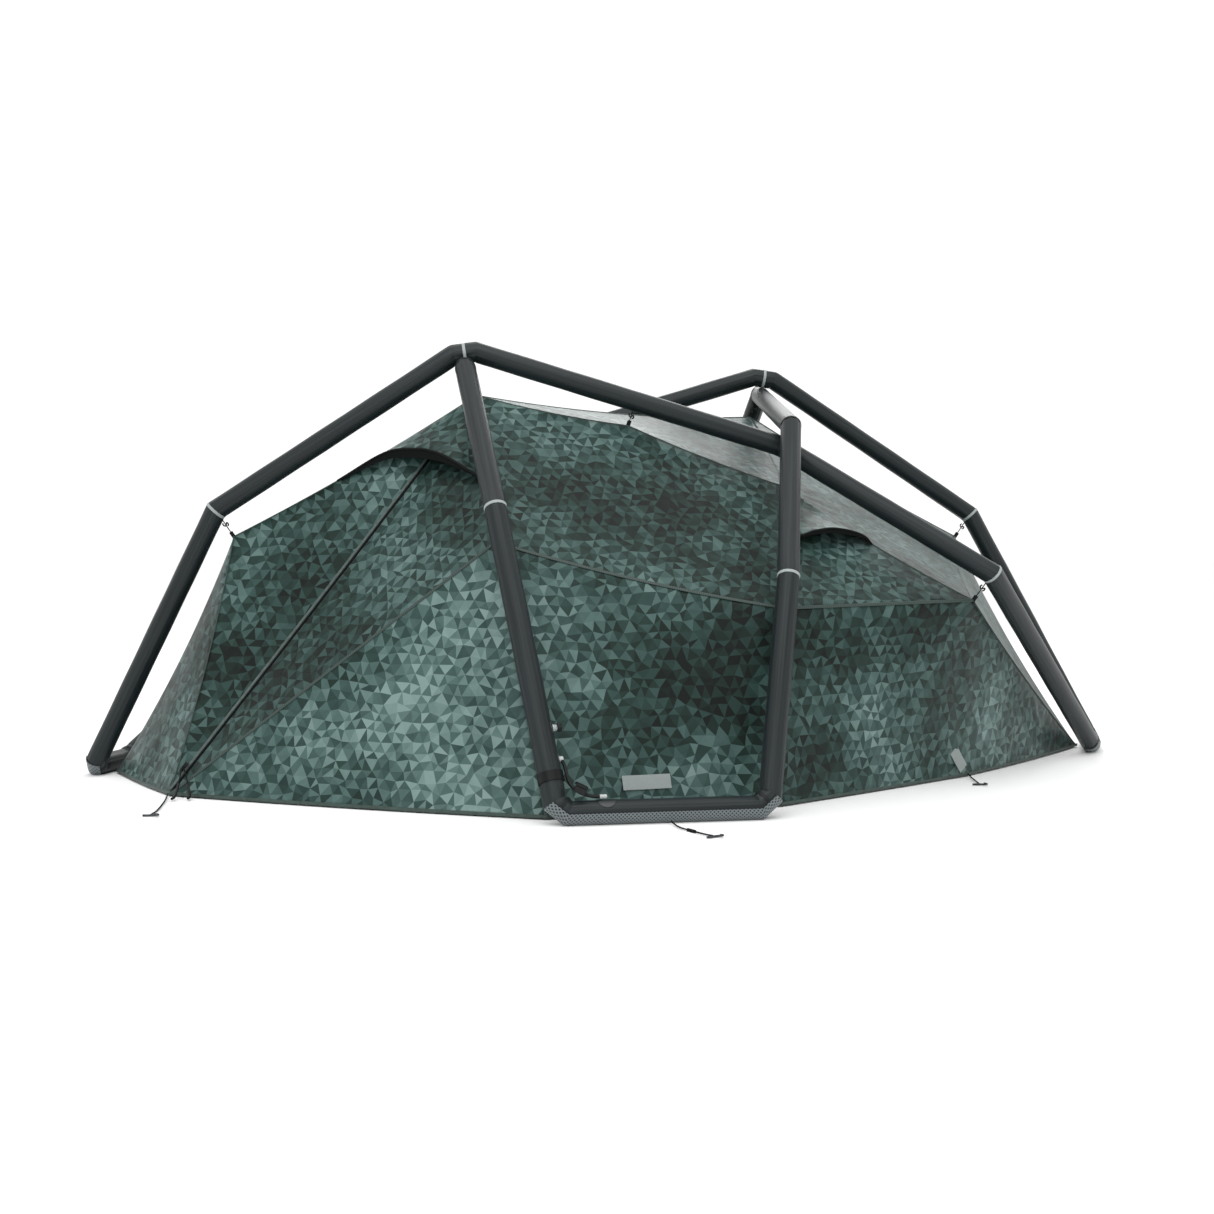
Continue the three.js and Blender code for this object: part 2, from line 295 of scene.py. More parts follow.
def mitred_rings(path, first, last, angles, radius):
    """Rings of points round a bent path, cut on a mitre plane at both ends and at each bend."""
    rings, places, gone = [], [], 0.0
    side = None
    for i, (a, b) in enumerate(zip(path, path[1:])):
        along, length = (b - a).normalized(), (b - a).length
        if side is None:
            side = along.cross(Vector((0, 0, 1))).normalized()
        else:
            side = before.rotation_difference(along) @ side
        top = side.cross(along)
        near = first if i == 0 else (before + along).normalized()
        far = last if i == len(path) - 2 else (along + (path[i + 2] - b).normalized()).normalized()
        reach = min(0.1, length / 2)
        for s in stations(length)[0 if i == 0 else 1:]:
            ring = []
            for angle in angles:
                offset = (side * math.cos(angle) + top * math.sin(angle)) * radius(angle, s, length)
                slide = -offset.dot(near) / along.dot(near) * max(0, 1 - s / reach)
                slide -= offset.dot(far) / along.dot(far) * max(0, 1 - (length - s) / reach)
                ring.append(a + along * (s + slide) + offset)
            rings.append(ring)
            places.append(gone + s)
        gone += length
        before = along
    return rings, places


def finish_mesh(name, points, faces, material, corners=None):
    """A smooth mesh piece; corners gives each face's UV places in metres."""
    mesh = bpy.data.meshes.new(name)
    mesh.from_pydata([tuple(p) for p in points], [], faces)
    mesh.materials.append(material)
    if corners:
        layer = mesh.uv_layers.new(name="cloth")
        layer.data.foreach_set("uv", [c for face in corners for corner in face for c in corner])
    mesh.shade_smooth()
    mesh.set_sharp_from_angle(angle=math.radians(42))
    piece = bpy.data.objects.new(name, mesh)
    bpy.context.collection.objects.link(piece)
    return piece


def loft(name, rows, material, places, widths, wrap_rows=False, wrap_columns=True, cap=True):
    """A mesh over rows of points, closed across its columns, its rows, or by end faces."""
    count, across = len(rows), len(rows[0])
    faces, corners = [], []
    for i in range(count if wrap_rows else count - 1):
        for j in range(across if wrap_columns else across - 1):
            i2, j2 = (i + 1) % count, (j + 1) % across
            faces.append((i * across + j, i * across + j2, i2 * across + j2, i2 * across + j))
            u, u2 = places[i], places[i2 if i2 else i]
            v, v2 = widths[j], widths[j + 1] if j + 1 < len(widths) else widths[j] + widths[1]
            corners.append(((u, v), (u, v2), (u2, v2), (u2, v)))
    if cap:
        for row, order in ((0, -1), (count - 1, 1)):
            loop = [row * across + j for j in range(across)][::order]
            faces.append(loop)
            corners.append([(places[row] + 0.01 * math.cos(k), 0.01 * math.sin(k)) for k in range(across)])
    return finish_mesh(name, [p for row in rows for p in row], faces, material, corners)


def facing_out(piece):
    """Turns a closed mesh's faces to the outside."""
    work = bmesh.new()
    work.from_mesh(piece.data)
    bmesh.ops.recalc_face_normals(work, faces=work.faces)
    work.to_mesh(piece.data)
    work.free()
    return piece


TUBE_ANGLES = [2 * math.pi * k / TUBE_SIDES for k in range(TUBE_SIDES)]
TUBE_WIDTHS = [TUBE_RADIUS * angle for angle in TUBE_ANGLES]
WELDS = (7, 29, 51)


def sleeve_radius(angle, s, length):
    """The sleeve pulls in at its mitred seams, with puckers that fade along it."""
    end = min(s, length - s)
    pull = 0.0013 * math.exp(-end / 0.005)
    pucker = 0.0007 * math.sin(9 * angle + 40 * length) * math.exp(-end / 0.03)
    pucker += 0.0004 * math.sin(17 * angle + 90 * length) * math.exp(-end / 0.016)
    weld = 0.0009 if round(angle / (2 * math.pi) * TUBE_SIDES) in WELDS else 0
    swell = 0.0003 * math.sin(s * 31 + angle * 2)
    return TUBE_RADIUS - pull + pucker - weld + swell


GROUND_REST = 0.0016
ring_data = {}
for tubes in (ARCH_TUBES, HOOP_TUBES):
    names, bends = ring_bends(tubes)
    count = len(names)
    runs = [(bends[(i + 1) % count] - bends[i]).normalized() for i in range(count)]
    for i, name in enumerate(names):
        start, end = bends[i], bends[(i + 1) % count]
        step_in = DOUBLE_BENDS.get(name.split("_", 1)[1], 0)
        step_out = DOUBLE_BENDS.get(names[(i + 1) % count].split("_", 1)[1], 0)
        path = [start + runs[i] * step_in, end - runs[i] * step_out]
        first = (runs[i - 1] + runs[i]).normalized()
        last = (runs[i] + runs[(i + 1) % count]).normalized()
        if step_in:
            path.insert(0, start + (runs[i] - runs[i - 1]) * step_in / 2)
        if step_out:
            path.append(end + (runs[(i + 1) % count] - runs[i]) * step_out / 2)
        ring_data[name] = {
            "start": start, "end": end, "run": runs[i], "path": path, "step": step_in, "before": runs[i - 1],
        }
        rings, places = mitred_rings(path, first, last, TUBE_ANGLES, sleeve_radius)
        for ring in rings:
            for point in ring:
                point.z = max(point.z, GROUND_REST)
        piece = facing_out(loft(f"{name}_sleeve", rings, sleeve, places, TUBE_WIDTHS))
        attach(piece, "tent")
        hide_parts(name)

# Joint tapes: a narrow woven tape glued over each mitred seam. It is light grey at
# the apexes, elbows and knees, and charcoal where two tubes cross or meet the ground.
pale_tape, pale_shader = new_material("pale_seam_tape", "#8d9594", 0.6, sheen_weight=0.2)
pale_ribs = wire(pale_tape, "TexWave", {"Vector": uv_place(pale_tape), "Scale": 220.0}, bands_direction="Y")
tint(pale_tape, pale_shader, pale_ribs.outputs["Fac"], [(0.0, "#7f8786"), (1.0, "#9ba3a2")])
bump(pale_tape, pale_shader, pale_ribs.outputs["Fac"], 0.25, 0.0003)
dark_tape, dark_shader = new_material("charcoal_seam_tape", "#101314", 0.5, specular_ior_level=0.2)
dark_ribs = wire(dark_tape, "TexWave", {"Vector": uv_place(dark_tape), "Scale": 220.0}, bands_direction="Y")
tint(dark_tape, dark_shader, dark_ribs.outputs["Fac"], [(0.0, "#0d1011"), (1.0, "#1a1f20")])
bump(dark_tape, dark_shader, dark_ribs.outputs["Fac"], 0.25, 0.0003)
PALE_BENDS = {"arch_left_rise", "arch_ridge", "arch_right_leg", "hoop_left_leg", "hoop_right_thigh"}
TAPE_HALF = 0.0042


def hoop_band(name, at, into, out, cut, half, inner, outer, material):
    """A band round a tube at a bend, with both its edges parallel to the cut."""
    path = [at - into * half, at, at + out * half]
    inside, places = mitred_rings(path, cut, cut, TUBE_ANGLES, lambda *_: inner)
    outside, _ = mitred_rings(path, cut, cut, TUBE_ANGLES, lambda *_: outer)
    rows = outside + inside[::-1]
    for row in rows:
        for point in row:
            point.z = max(point.z, GROUND_REST - 0.0006)
    piece = loft(name, rows, material, places + places[::-1], TUBE_WIDTHS, wrap_rows=True, cap=False)
    return facing_out(piece)


for name, tube in ring_data.items():
    half, kind = name.split("_", 1)
    pale = kind in PALE_BENDS
    at = tube["path"][0] if tube["step"] else tube["start"]
    flat = (tube["before"] + tube["run"]).normalized()
    into, out = (flat, flat) if tube["step"] else (tube["before"], tube["run"])
    piece = hoop_band(
        f"{name}_tape", at, into, out, flat, TAPE_HALF, TUBE_RADIUS - 0.0012, TUBE_RADIUS + 0.0006,
        pale_tape if pale else dark_tape,
    )
    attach(piece, "tent")

# Scuff guards: perforated grey mesh cloth sewn over the outer underside of every
# bar that lies on the ground, and round the corners at its ends.
guard, guard_shader = new_material("scuff_mesh", "#737b79", 0.7, sheen_weight=0.15)
guard_turn = wire(guard, "Mapping", {"Vector": uv_place(guard), "Rotation": (0, 0, math.radians(45))})
guard_holes = wire(
    guard, "TexVoronoi", {"Vector": guard_turn.outputs["Vector"], "Scale": 145.0, "Randomness": 0.0},
    voronoi_dimensions="2D",
)
guard_spots = wire(guard, "MapRange", {"Value": guard_holes.outputs["Distance"], "From Min": 0.26, "From Max": 0.36})
tint(guard, guard_shader, guard_spots.outputs["Result"], [(0.0, "#0b0d0e"), (1.0, "#646d6f")])
bump(guard, guard_shader, guard_spots.outputs["Result"], 0.6, 0.0006)
GUARD_ARC = 46
GUARD_HALF_TURN = 62

for half in ("front", "back"):
    for bar, after in (("ground_bar", "hoop_right_leg"), ("foot_bar", "arch_left_leg")):
        other = half if bar == "ground_bar" else ("back" if half == "front" else "front")
        tube, follow = ring_data[f"{half}_{bar}"], ring_data[f"{other}_{after}"]
        out = Vector((tube["run"].y, -tube["run"].x, 0))
        if out.dot(tube["start"]) < 0:
            out.negate()
        centre = (out * 0.56 - Vector((0, 0, 0.83))).normalized()
        path = [
            tube["start"] - tube["before"] * tube["step"], tube["start"] + tube["run"] * tube["step"],
            follow["start"] - tube["run"] * follow["step"], follow["start"] + follow["run"] * follow["step"],
        ]
        chamfers = [(path[1] - path[0]).normalized(), (path[3] - path[2]).normalized()]
        first, last = (tube["before"] + chamfers[0]).normalized(), (chamfers[1] + follow["run"]).normalized()
        side = chamfers[0].cross(Vector((0, 0, 1))).normalized()
        top = side.cross(chamfers[0])
        # The guard's middle line starts where the bar's own middle line comes round its first bends.
        turn = chamfers[0].rotation_difference(tube["run"])
        back_centre = turn.inverted() @ centre
        middle_angle = math.atan2(back_centre.dot(top), back_centre.dot(side))
        angles = [middle_angle + math.radians(GUARD_HALF_TURN) * (2 * k / GUARD_ARC - 1) for k in range(GUARD_ARC + 1)]
        widths = [TUBE_RADIUS * (angle - angles[0]) for angle in angles]
        outside, places = mitred_rings(path, first, last, angles, lambda *_: TUBE_RADIUS + 0.0018)
        inside, _ = mitred_rings(path, first, last, angles, lambda *_: TUBE_RADIUS - 0.0004)
        rows = [a + b[::-1] for a, b in zip(outside, inside)]
        for row in rows:
            for point in row:
                point.z = max(point.z, 0.0004)
        piece = facing_out(loft(f"{half}_{bar}_guard", rows, guard, places, widths + widths[::-1]))
        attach(piece, "tent")
        for edge, angle in (("upper", angles[0]), ("lower", angles[-1])):
            rings, _ = mitred_rings(path, first, last, [angle], lambda *_: TUBE_RADIUS + 0.0012)
            seam_line = [ring[0] for ring in rings]
            for point in seam_line:
                point.z = max(point.z, 0.0022)
            round_line(f"{half}_{bar}_guard_{edge}_edge", seam_line, 0.0016, dark_tape)

# Fly: taut camouflage ripstop, cut in panels and hung inside the frame. Its print is
# a mosaic of small green triangles. The panels meet in ridges between the hanging
# points, and the hem is pegged to the ground. The back half is the front half turned.
FLY = {
    "left_shoulder": (-1.185, -0.240, 0.705),
    "peak": (-0.490, -0.340, 1.110),
    "ridge": (-0.049, -0.335, 1.029),
    "left_seam": (-0.478, -0.765, 0.690),
    "right_seam": (0.285, -0.850, 0.515),
    "saddle": (0.415, -0.380, 0.850),
    "right_shoulder": (0.885, -0.665, 0.525),
    "left_hem": (-1.345, -0.515, 0.004),
    "mid_hem": (-0.378, -1.041, 0.004),
    "right_hem": (0.250, -0.948, 0.004),
    "peg_hem": (0.934, -0.518, 0.004),
    "end_hem": (-1.545, -0.050, 0.004),
}
for corner, spot in list(FLY.items()):
    FLY[corner] = Vector(spot)
    FLY["back_" + corner] = Vector((-spot[0], -spot[1], spot[2]))

# Edges that aren't straight: how far each one's middle is pulled aside.
EDGE_SAG = {
    ("left_shoulder", "peak"): (0, 0.010, -0.012),
    ("left_shoulder", "left_hem"): (0.012, 0.004, 0.0),
    ("left_shoulder", "end_hem"): (0.018, 0.0, -0.006),
    ("left_seam", "right_seam"): (0, 0.010, -0.014),
    ("left_hem", "mid_hem"): (-0.008, -0.016, 0.0),
    ("left_hem", "end_hem"): (-0.004, -0.010, 0.0),
    ("peg_hem", "back_end_hem"): (0.006, -0.012, 0.0),
    ("right_hem", "peg_hem"): (0.0, -0.006, 0.0),
    ("mid_hem", "right_hem"): (0.0, 0.006, 0.0),
    ("peak", "ridge"): (0, 0.0, -0.008),
    ("ridge", "saddle"): (0, 0.008, -0.006),
    ("saddle", "right_shoulder"): (0, 0.012, -0.012),
    ("peak", "back_peak"): (0, 0, -0.022),
    ("peak", "left_hem"): (0.004, 0.006, -0.002),
    ("left_shoulder", "back_right_shoulder"): (0.012, 0, -0.014),
    ("right_shoulder", "back_end_hem"): (-0.010, 0.004, 0.0),
}
PRINT_PITCH = 0.0295
PRINT_CONTRAST = 0.27
OUTSIDE_FROM = Vector((0, 0, 0.42))


def turned_half(points):
    """Points of the front half, turned half a turn to the back one."""
    return [Vector((-p.x, -p.y, p.z)) for p in points]


def edge_line(a, b):
    """The shared line of points along a panel edge, the same whichever panel asks."""
    twins = [name[5:] if name.startswith("back_") else "back_" + name for name in (a, b)]
    own, known = {(a, b), (b, a)}, {tuple(twins), tuple(twins[::-1])}
    if not own & EDGE_SAG.keys() and known & EDGE_SAG.keys():
        return turned_half(edge_line(*twins))
    key = next((pair for pair in ((a, b), (b, a)) if pair in EDGE_SAG), tuple(sorted((a, b))))
    flip = key != (a, b)
    start, end = FLY[key[0]], FLY[key[1]]
    sag = Vector(EDGE_SAG.get(key, (0, 0, 0)))
    count = max(2, round((end - start).length / PRINT_PITCH)) * 2
    line = [start.lerp(end, k / count) + sag * (4 * k / count * (1 - k / count)) for k in range(count + 1)]
    return line[::-1] if flip else line


def in_loop(point, loop):
    """Whether a flat point lies inside a closed loop."""
    inside = False
    for (ax, ay), (bx, by) in zip(loop, loop[1:] + loop[:1]):
        if (ay > point[1]) != (by > point[1]) and point[0] < (bx - ax) * (point[1] - ay) / (by - ay) + ax:
            inside = not inside
    return inside


# Broad light and dark clouds over the fly, partly the print's own blotches and partly painted shade and light, such as
# the darker cloth under the door hood: where, how wide, how much lighter.
PRINT_AND_SHADE_CLOUDS = [
    ((-0.60, -0.85, 0.30), 0.36, 0.06), ((-1.00, -0.62, 0.15), 0.20, 0.08), ((-0.30, -0.98, 0.12), 0.26, 0.12),
    ((-1.08, -0.40, 0.40), 0.24, -0.16), ((-0.85, -0.52, 0.36), 0.16, -0.22), ((-0.70, -0.48, 0.62), 0.15, 0.10),
    ((-0.55, -0.45, 0.86), 0.16, -0.16), ((-0.80, -0.30, 0.80), 0.14, 0.06), ((-0.98, -0.34, 0.70), 0.16, -0.10),
    ((-0.08, -0.62, 0.72), 0.24, -0.18), ((-0.25, -0.45, 0.98), 0.20, 0.08), ((0.30, -0.60, 0.62), 0.22, -0.14),
    ((-0.25, -0.70, 0.66), 0.14, 0.10), ((-0.30, -0.86, 0.50), 0.20, 0.14), ((0.08, -0.90, 0.34), 0.26, -0.22),
    ((0.10, -0.95, 0.10), 0.16, 0.10), ((0.60, -0.72, 0.45), 0.24, -0.12), ((0.45, -0.85, 0.22), 0.20, 0.10),
    ((0.40, -0.90, 0.06), 0.16, -0.12), ((1.00, -0.48, 0.25), 0.20, 0.10), ((0.50, -0.62, 0.60), 0.16, 0.10),
    ((-0.85, -0.76, 0.06), 0.18, -0.14),
]


def print_and_shade_tone(at):
    """How light the fly's colour is round a place, from 0 to 1: the print, with the painted shade and light of its
    clouds.
    """
    tone = 0.37 + 0.26 * noise.noise(at * 2.3 + Vector((3, 7, 1))) + 0.24 * noise.noise(at * 6.5)
    for centre, wide, lift in PRINT_AND_SHADE_CLOUDS:
        for turned in (at, Vector((-at.x, -at.y, at.z))):
            tone += 1.35 * lift * math.exp(-((turned - Vector(centre)).length / wide) ** 2)
    return tone


def rim_of(corners):
    """The closed line round a panel, from its corners' names."""
    return [p for a, b in zip(corners, corners[1:] + corners[:1]) for p in edge_line(a, b)[:-1]]


def cloth_patch(rim, seed, pulls=(), shade=0.0):
    """A taut patch inside a closed rim: its points, small triangles, tones and flat places.
    Creases run out from the pulls, where the cloth is hung."""
    centre = sum(rim, Vector()) / len(rim)
    normal = Vector()
    for a, b in zip(rim, rim[1:] + rim[:1]):
        normal += (a - centre).cross(b - centre)
    normal.normalize()
    if normal.dot(centre - OUTSIDE_FROM) < 0:
        normal.negate()
    across = (Vector((0, 0, 1)).cross(normal) if abs(normal.z) < 0.97 else Vector((1, 0, 0))).normalized()
    upward = normal.cross(across)
    flat = [((p - centre).dot(across), (p - centre).dot(upward)) for p in rim]
    coarse_rim = flat[::2]
    chance = random.Random(seed)
    xs, ys = [p[0] for p in coarse_rim], [p[1] for p in coarse_rim]
    row_step = PRINT_PITCH * 0.866
    rim_array = np.array(flat)
    inner = []
    for row in range(int((max(ys) - min(ys)) / row_step) + 2):
        for column in range(int((max(xs) - min(xs)) / PRINT_PITCH) + 3):
            spot = (
                min(xs) + (column + 0.5 * (row % 2) - 0.5) * PRINT_PITCH + chance.uniform(-0.25, 0.25) * PRINT_PITCH,
                min(ys) + row * row_step + chance.uniform(-0.25, 0.25) * PRINT_PITCH,
            )
            if in_loop(spot, coarse_rim) and np.hypot(*(rim_array - spot).T).min() > 0.5 * PRINT_PITCH:
                inner.append(spot)
    count = len(coarse_rim)
    spots = [Vector(p) for p in coarse_rim + inner]
    made = delaunay_2d_cdt(spots, [(k, (k + 1) % count) for k in range(count)], [], 1, 1e-6)
    flat_points, coarse = [tuple(v) for v in made[0]], made[2]
    # The rim's odd points are the middles of its coarse edges, so that neighbours share every point.
    where = {tuple(np.round(p, 5)): k for k, p in enumerate(flat_points)}
    rim_at = {}
    for k, p in enumerate(flat):
        key = tuple(np.round(p, 5))
        if k % 2 == 0 and key in where:
            rim_at[where[key]] = k
    heights = {index: (rim[k] - centre).dot(normal) for index, k in rim_at.items()}
    # Heights: fixed on the rim, and inside each point at the mean of its neighbours.
    total = len(flat_points)
    links = np.zeros((total, total))
    for face in coarse:
        for a, b in zip(face, face[1:] + face[:1]):
            links[a, b] = links[b, a] = 1
    fixed = np.array(sorted(heights))
    free = np.array([k for k in range(total) if k not in heights])
    level = np.zeros(total)
    level[fixed] = [heights[k] for k in fixed]
    if len(free):
        system = np.diag(links.sum(1)[free]) - links[np.ix_(free, free)]
        level[free] = np.linalg.solve(system, links[np.ix_(free, fixed)] @ level[fixed])
    level = list(level)
    middles, faces, tones = {}, [], []

    def middle(i, j):
        key = (min(i, j), max(i, j))
        if key not in middles:
            a, b = rim_at.get(i), rim_at.get(j)
            on_rim = a is not None and b is not None and abs(a - b) in (2, len(rim) - 2)
            if on_rim:
                k = (a + b) // 2 if abs(a - b) == 2 else len(rim) - 1
                flat_points.append(flat[k])
                heights[len(flat_points) - 1] = (rim[k] - centre).dot(normal)
                level.append(heights[len(flat_points) - 1])
            else:
                flat_points.append(tuple((Vector(flat_points[i]) + Vector(flat_points[j])) / 2))
                level.append((level[i] + level[j]) / 2)
            middles[key] = len(flat_points) - 1
        return middles[key]

    # Each triangle of the print stands out from the ones beside it.
    beside = {}
    for i, j, k in coarse:
        ij, jk, ki = middle(i, j), middle(j, k), middle(k, i)
        near = [beside[edge] for edge in (ij, jk, ki) if edge in beside]
        picks = [chance.uniform(-PRINT_CONTRAST, PRINT_CONTRAST) for _ in range(2)]
        facet = max(picks, key=lambda pick: min([abs(pick - other) for other in near], default=0))
        beside.update({ij: facet, jk: facet, ki: facet})
        spot = (Vector(flat_points[i]) + Vector(flat_points[j]) + Vector(flat_points[k])) / 3
        tone = print_and_shade_tone(centre + across * spot.x + upward * spot.y) + facet + shade
        for face in ((i, ij, ki), (ij, j, jk), (ki, jk, k), (ij, jk, ki)):
            faces.append(face)
            tones.append(tone)
    plane = np.array(flat_points)
    from_rim = np.sqrt(((plane[:, None, :] - rim_array[None, :, :]) ** 2).sum(2)).min(1)
    points = []
    for k, (x, y) in enumerate(flat_points):
        base = centre + across * x + upward * y
        ease = 1 - math.exp(-from_rim[k] / 0.06)
        ripple = 0.004 * noise.noise(base * 3.1 + Vector((seed, 0, 0))) + 0.0016 * noise.noise(base * 9.0)
        for corner in pulls:
            arm = base - corner
            turn = math.atan2(arm.dot(upward), arm.dot(across))
            ripple += 0.0022 * math.sin(turn * 15 + seed) * math.exp(-arm.length / 0.16)
        points.append(base + normal * (level[k] + ease * ripple))
    for index, k in rim_at.items():
        points[index] = rim[k]
    for (i, j), m in middles.items():
        if m in heights:
            a, b = rim_at[i], rim_at[j]
            points[m] = rim[(a + b) // 2 if abs(a - b) == 2 else len(rim) - 1]
    outward = []
    for face in faces:
        a, b, c = (points[k] for k in face)
        outward.append(face if (b - a).cross(c - a).dot(normal) > 0 else face[::-1])
    return points, outward, tones, [(x, y) for x, y in flat_points]


fly_cloth, fly_shader = new_material(
    "printed_ripstop", "#3c5a52", 0.42, sheen_weight=0.08, sheen_roughness=0.35, specular_ior_level=0.16,
)
fly_uv = uv_place(fly_cloth)
fly_tone = wire(fly_cloth, "Attribute", {}, attribute_name="print_and_shade_tone")
fly_mottle = wire(fly_cloth, "TexNoise", {"Vector": object_place(fly_cloth), "Scale": 38.0, "Detail": 4.0})
fly_mixed = wire(
    fly_cloth, "Math", {0: fly_mottle.outputs["Fac"], 1: 0.14, 2: fly_tone.outputs["Fac"]}, operation="MULTIPLY_ADD",
)
PRINT_GREENS = [(0.0, "#070f0d"), (0.2, "#13241f"), (0.45, "#263c38"), (0.72, "#475e5a"), (1.0, "#708682")]
tint(fly_cloth, fly_shader, fly_mixed.outputs["Value"], PRINT_GREENS)
fly_grid = wire(fly_cloth, "TexBrick", {
    "Vector": fly_uv, "Scale": 1.0, "Mortar Size": 0.0004, "Mortar Smooth": 0.6,
    "Brick Width": 0.005, "Row Height": 0.005,
}, offset=0.0)
bump(fly_cloth, fly_shader, fly_grid.outputs["Fac"], 0.25, 0.0003)

fly_back, fly_back_shader = new_material("fly_coated_inside", "#3c4643", 0.5)
fly_back_grid = wire(fly_back, "TexBrick", {
    "Vector": uv_place(fly_back), "Scale": 1.0, "Mortar Size": 0.0004, "Brick Width": 0.005, "Row Height": 0.005,
    "Color1": paint("#38423f"), "Color2": paint("#3c4643"), "Mortar": paint("#48524f"),
}, offset=0.0)
join(fly_back, fly_back_grid.outputs["Color"], fly_back_shader, "Base Color")


def fly_piece(name, patches):
    """One sewn piece of the fly from its patches, as a thin cloth with a coated inside."""
    points, faces, tones, flats, known = [], [], [], [], {}
    for patch_points, patch_faces, patch_tones, patch_flats in patches:
        index = []
        for point in patch_points:
            key = tuple(round(c, 5) for c in point)
            if key not in known:
                known[key] = len(points)
                points.append(point)
            index.append(known[key])
        for face, tone in zip(patch_faces, patch_tones):
            joined = tuple(index[k] for k in face)
            if len(set(joined)) == 3:
                faces.append(joined)
                tones.append(tone)
                flats.append([patch_flats[k] for k in face])
    piece = finish_mesh(name, points, faces, fly_cloth, flats)
    piece.data.materials.append(fly_back)
    tone_layer = piece.data.attributes.new("print_and_shade_tone", "FLOAT", "FACE")
    tone_layer.data.foreach_set("value", tones)
    area = sum(p.area for p in piece.data.polygons)
    thick = piece.modifiers.new("cloth_thickness", "SOLIDIFY")
    thick.thickness = 0.0014
    thick.offset = -1
    thick.material_offset = 1
    thick.material_offset_rim = 0
    low = [min(p[axis] for p in points) for axis in range(3)]
    high = [max(p[axis] for p in points) for axis in range(3)]
    sides = sorted((high[axis] - low[axis] for axis in range(3)), reverse=True)
    return piece, area, sides


def half_turned(patch):
    points, faces, tones, flats = patch
    return turned_half(points), faces, tones, flats


WIDEST_FILL = 1.02
LEAST_FILL = 0.32


def declare_cloth(area, sides):
    """Works out a panel's flat width from its box as it hangs, kept between the two limits
    that its area sets, and not a measured cut. The width is not kept or used."""
    length = sides[0]
    width = max(sides[1], area / length * WIDEST_FILL)
    width = min(width, area / length / LEAST_FILL)


FLY_PANELS = {
    "side_panel": [["left_shoulder", "left_hem", "peak"]],
    "upper_wall": [["peak", "left_seam", "right_seam", "saddle", "ridge"]],
    "lower_wall": [["left_seam", "mid_hem", "right_hem", "right_seam"]],
    "upper_corner": [["right_seam", "right_shoulder", "saddle"]],
    "lower_corner": [["right_seam", "right_hem", "peg_hem", "back_end_hem", "right_shoulder"]],
    "end_wall": [["left_shoulder", "end_hem", "left_hem"], ["left_shoulder", "back_right_shoulder", "end_hem"]],
    "roof_side": [["left_shoulder", "peak", "back_saddle", "back_right_shoulder"]],
    "roof_middle": [["peak", "ridge", "saddle", "back_peak"]],
}


def panel_patch(corners, seed, shade=0.0):
    return cloth_patch(rim_of(corners), seed, [FLY[c] for c in corners], shade)


for number, (panel, loops) in enumerate(FLY_PANELS.items()):
    patches = [panel_patch(loop, 11 + 7 * number + k) for k, loop in enumerate(loops)]
    for half in ("front", "back"):
        own = patches if half == "front" else [half_turned(p) for p in patches]
        piece, area, sides = fly_piece(f"{half}_{panel}_cloth", own)
        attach(piece, "tent")
        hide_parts(f"{half}_{panel}")
        declare_cloth(area, sides)

# Door: the cloth between the zip and the hoop's left leg. Once the zip is open it
# folds back on a line from the zip's top to the hem by the leg, so it is one sheet
# that bends there. A sewn diagonal seam makes its crease.
DOOR_PATCHES = [
    panel_patch(["peak", "left_hem", "left_seam"], 101),
    # The patch below the crease is painted 0.15 lighter: painted light, because it turns more towards the light than
    # the patch above it.
    panel_patch(["left_seam", "left_hem", "mid_hem"], 102, 0.15),
]
joint_of = {joint["name"]: joint for joint in frame["record"]["behaviour"]["joints"]}


def fold_line(half):
    """The door's fold: a point on it, its direction, and the way from the wall to the zip."""
    joint = joint_of[f"{half}_door_swing"]
    top = Vector(joint["pos_m"])
    turn = 1 if half == "front" else -1
    foot = Vector((FLY["mid_hem"].x * turn, FLY["mid_hem"].y * turn, FLY["mid_hem"].z))
    hem = Vector((FLY["left_hem"].x * turn, FLY["left_hem"].y * turn, FLY["left_hem"].z))
    along = (foot - top).normalized()
    aside = hem - top
    return top, foot, (aside - along * aside.dot(along)).normalized()


def bend_with_door(piece, half):
    top, foot, aside = fold_line(half)
    bpy.context.view_layer.update()
    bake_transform(piece)


for half in ("front", "back"):
    own = DOOR_PATCHES if half == "front" else [half_turned(p) for p in DOOR_PATCHES]
    piece, area, sides = fly_piece(f"{half}_door_cloth", own)
    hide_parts(f"{half}_door_gore", f"{half}_door_flap")
    bend_with_door(piece, half)
    declare_cloth(area, sides)

# Door hood: an awning of the same cloth over the top of the zip, lined in black. It
# is sewn along the ridge and the wall's seam, and a stiff bound rim holds it open.
# The black lining also serves as painted shade for the dark gap under the hood.
# Black lining for the hood insides and the strip under each rim: partly painted shade for the dark gap under the hood.
lining_and_painted_shade, lining_shader = new_material("black_lining_and_painted_shade", "#080a0a", 0.85, specular_ior_level=0.1)
lining_grain = wire(lining_and_painted_shade, "TexNoise", {"Vector": object_place(lining_and_painted_shade), "Scale": 300.0, "Detail": 2.0})
tint(lining_and_painted_shade, lining_shader, lining_grain.outputs["Fac"], [(0.3, "#060707"), (0.8, "#0e1111")])
binding, binding_shader = new_material("black_binding", "#0b0c0d", 0.7, specular_ior_level=0.15)
binding_ribs = wire(binding, "TexNoise", {"Vector": object_place(binding), "Scale": 500.0, "Detail": 2.0})
tint(binding, binding_shader, binding_ribs.outputs["Fac"], [(0.3, "#070808"), (0.8, "#121414")])
bump(binding, binding_shader, binding_ribs.outputs["Fac"], 0.3, 0.0003)


def part_of(line, start, end):
    """The stretch of a line between two fractions of its points."""
    last = len(line) - 1
    return line[round(last * start):round(last * end) + 1]


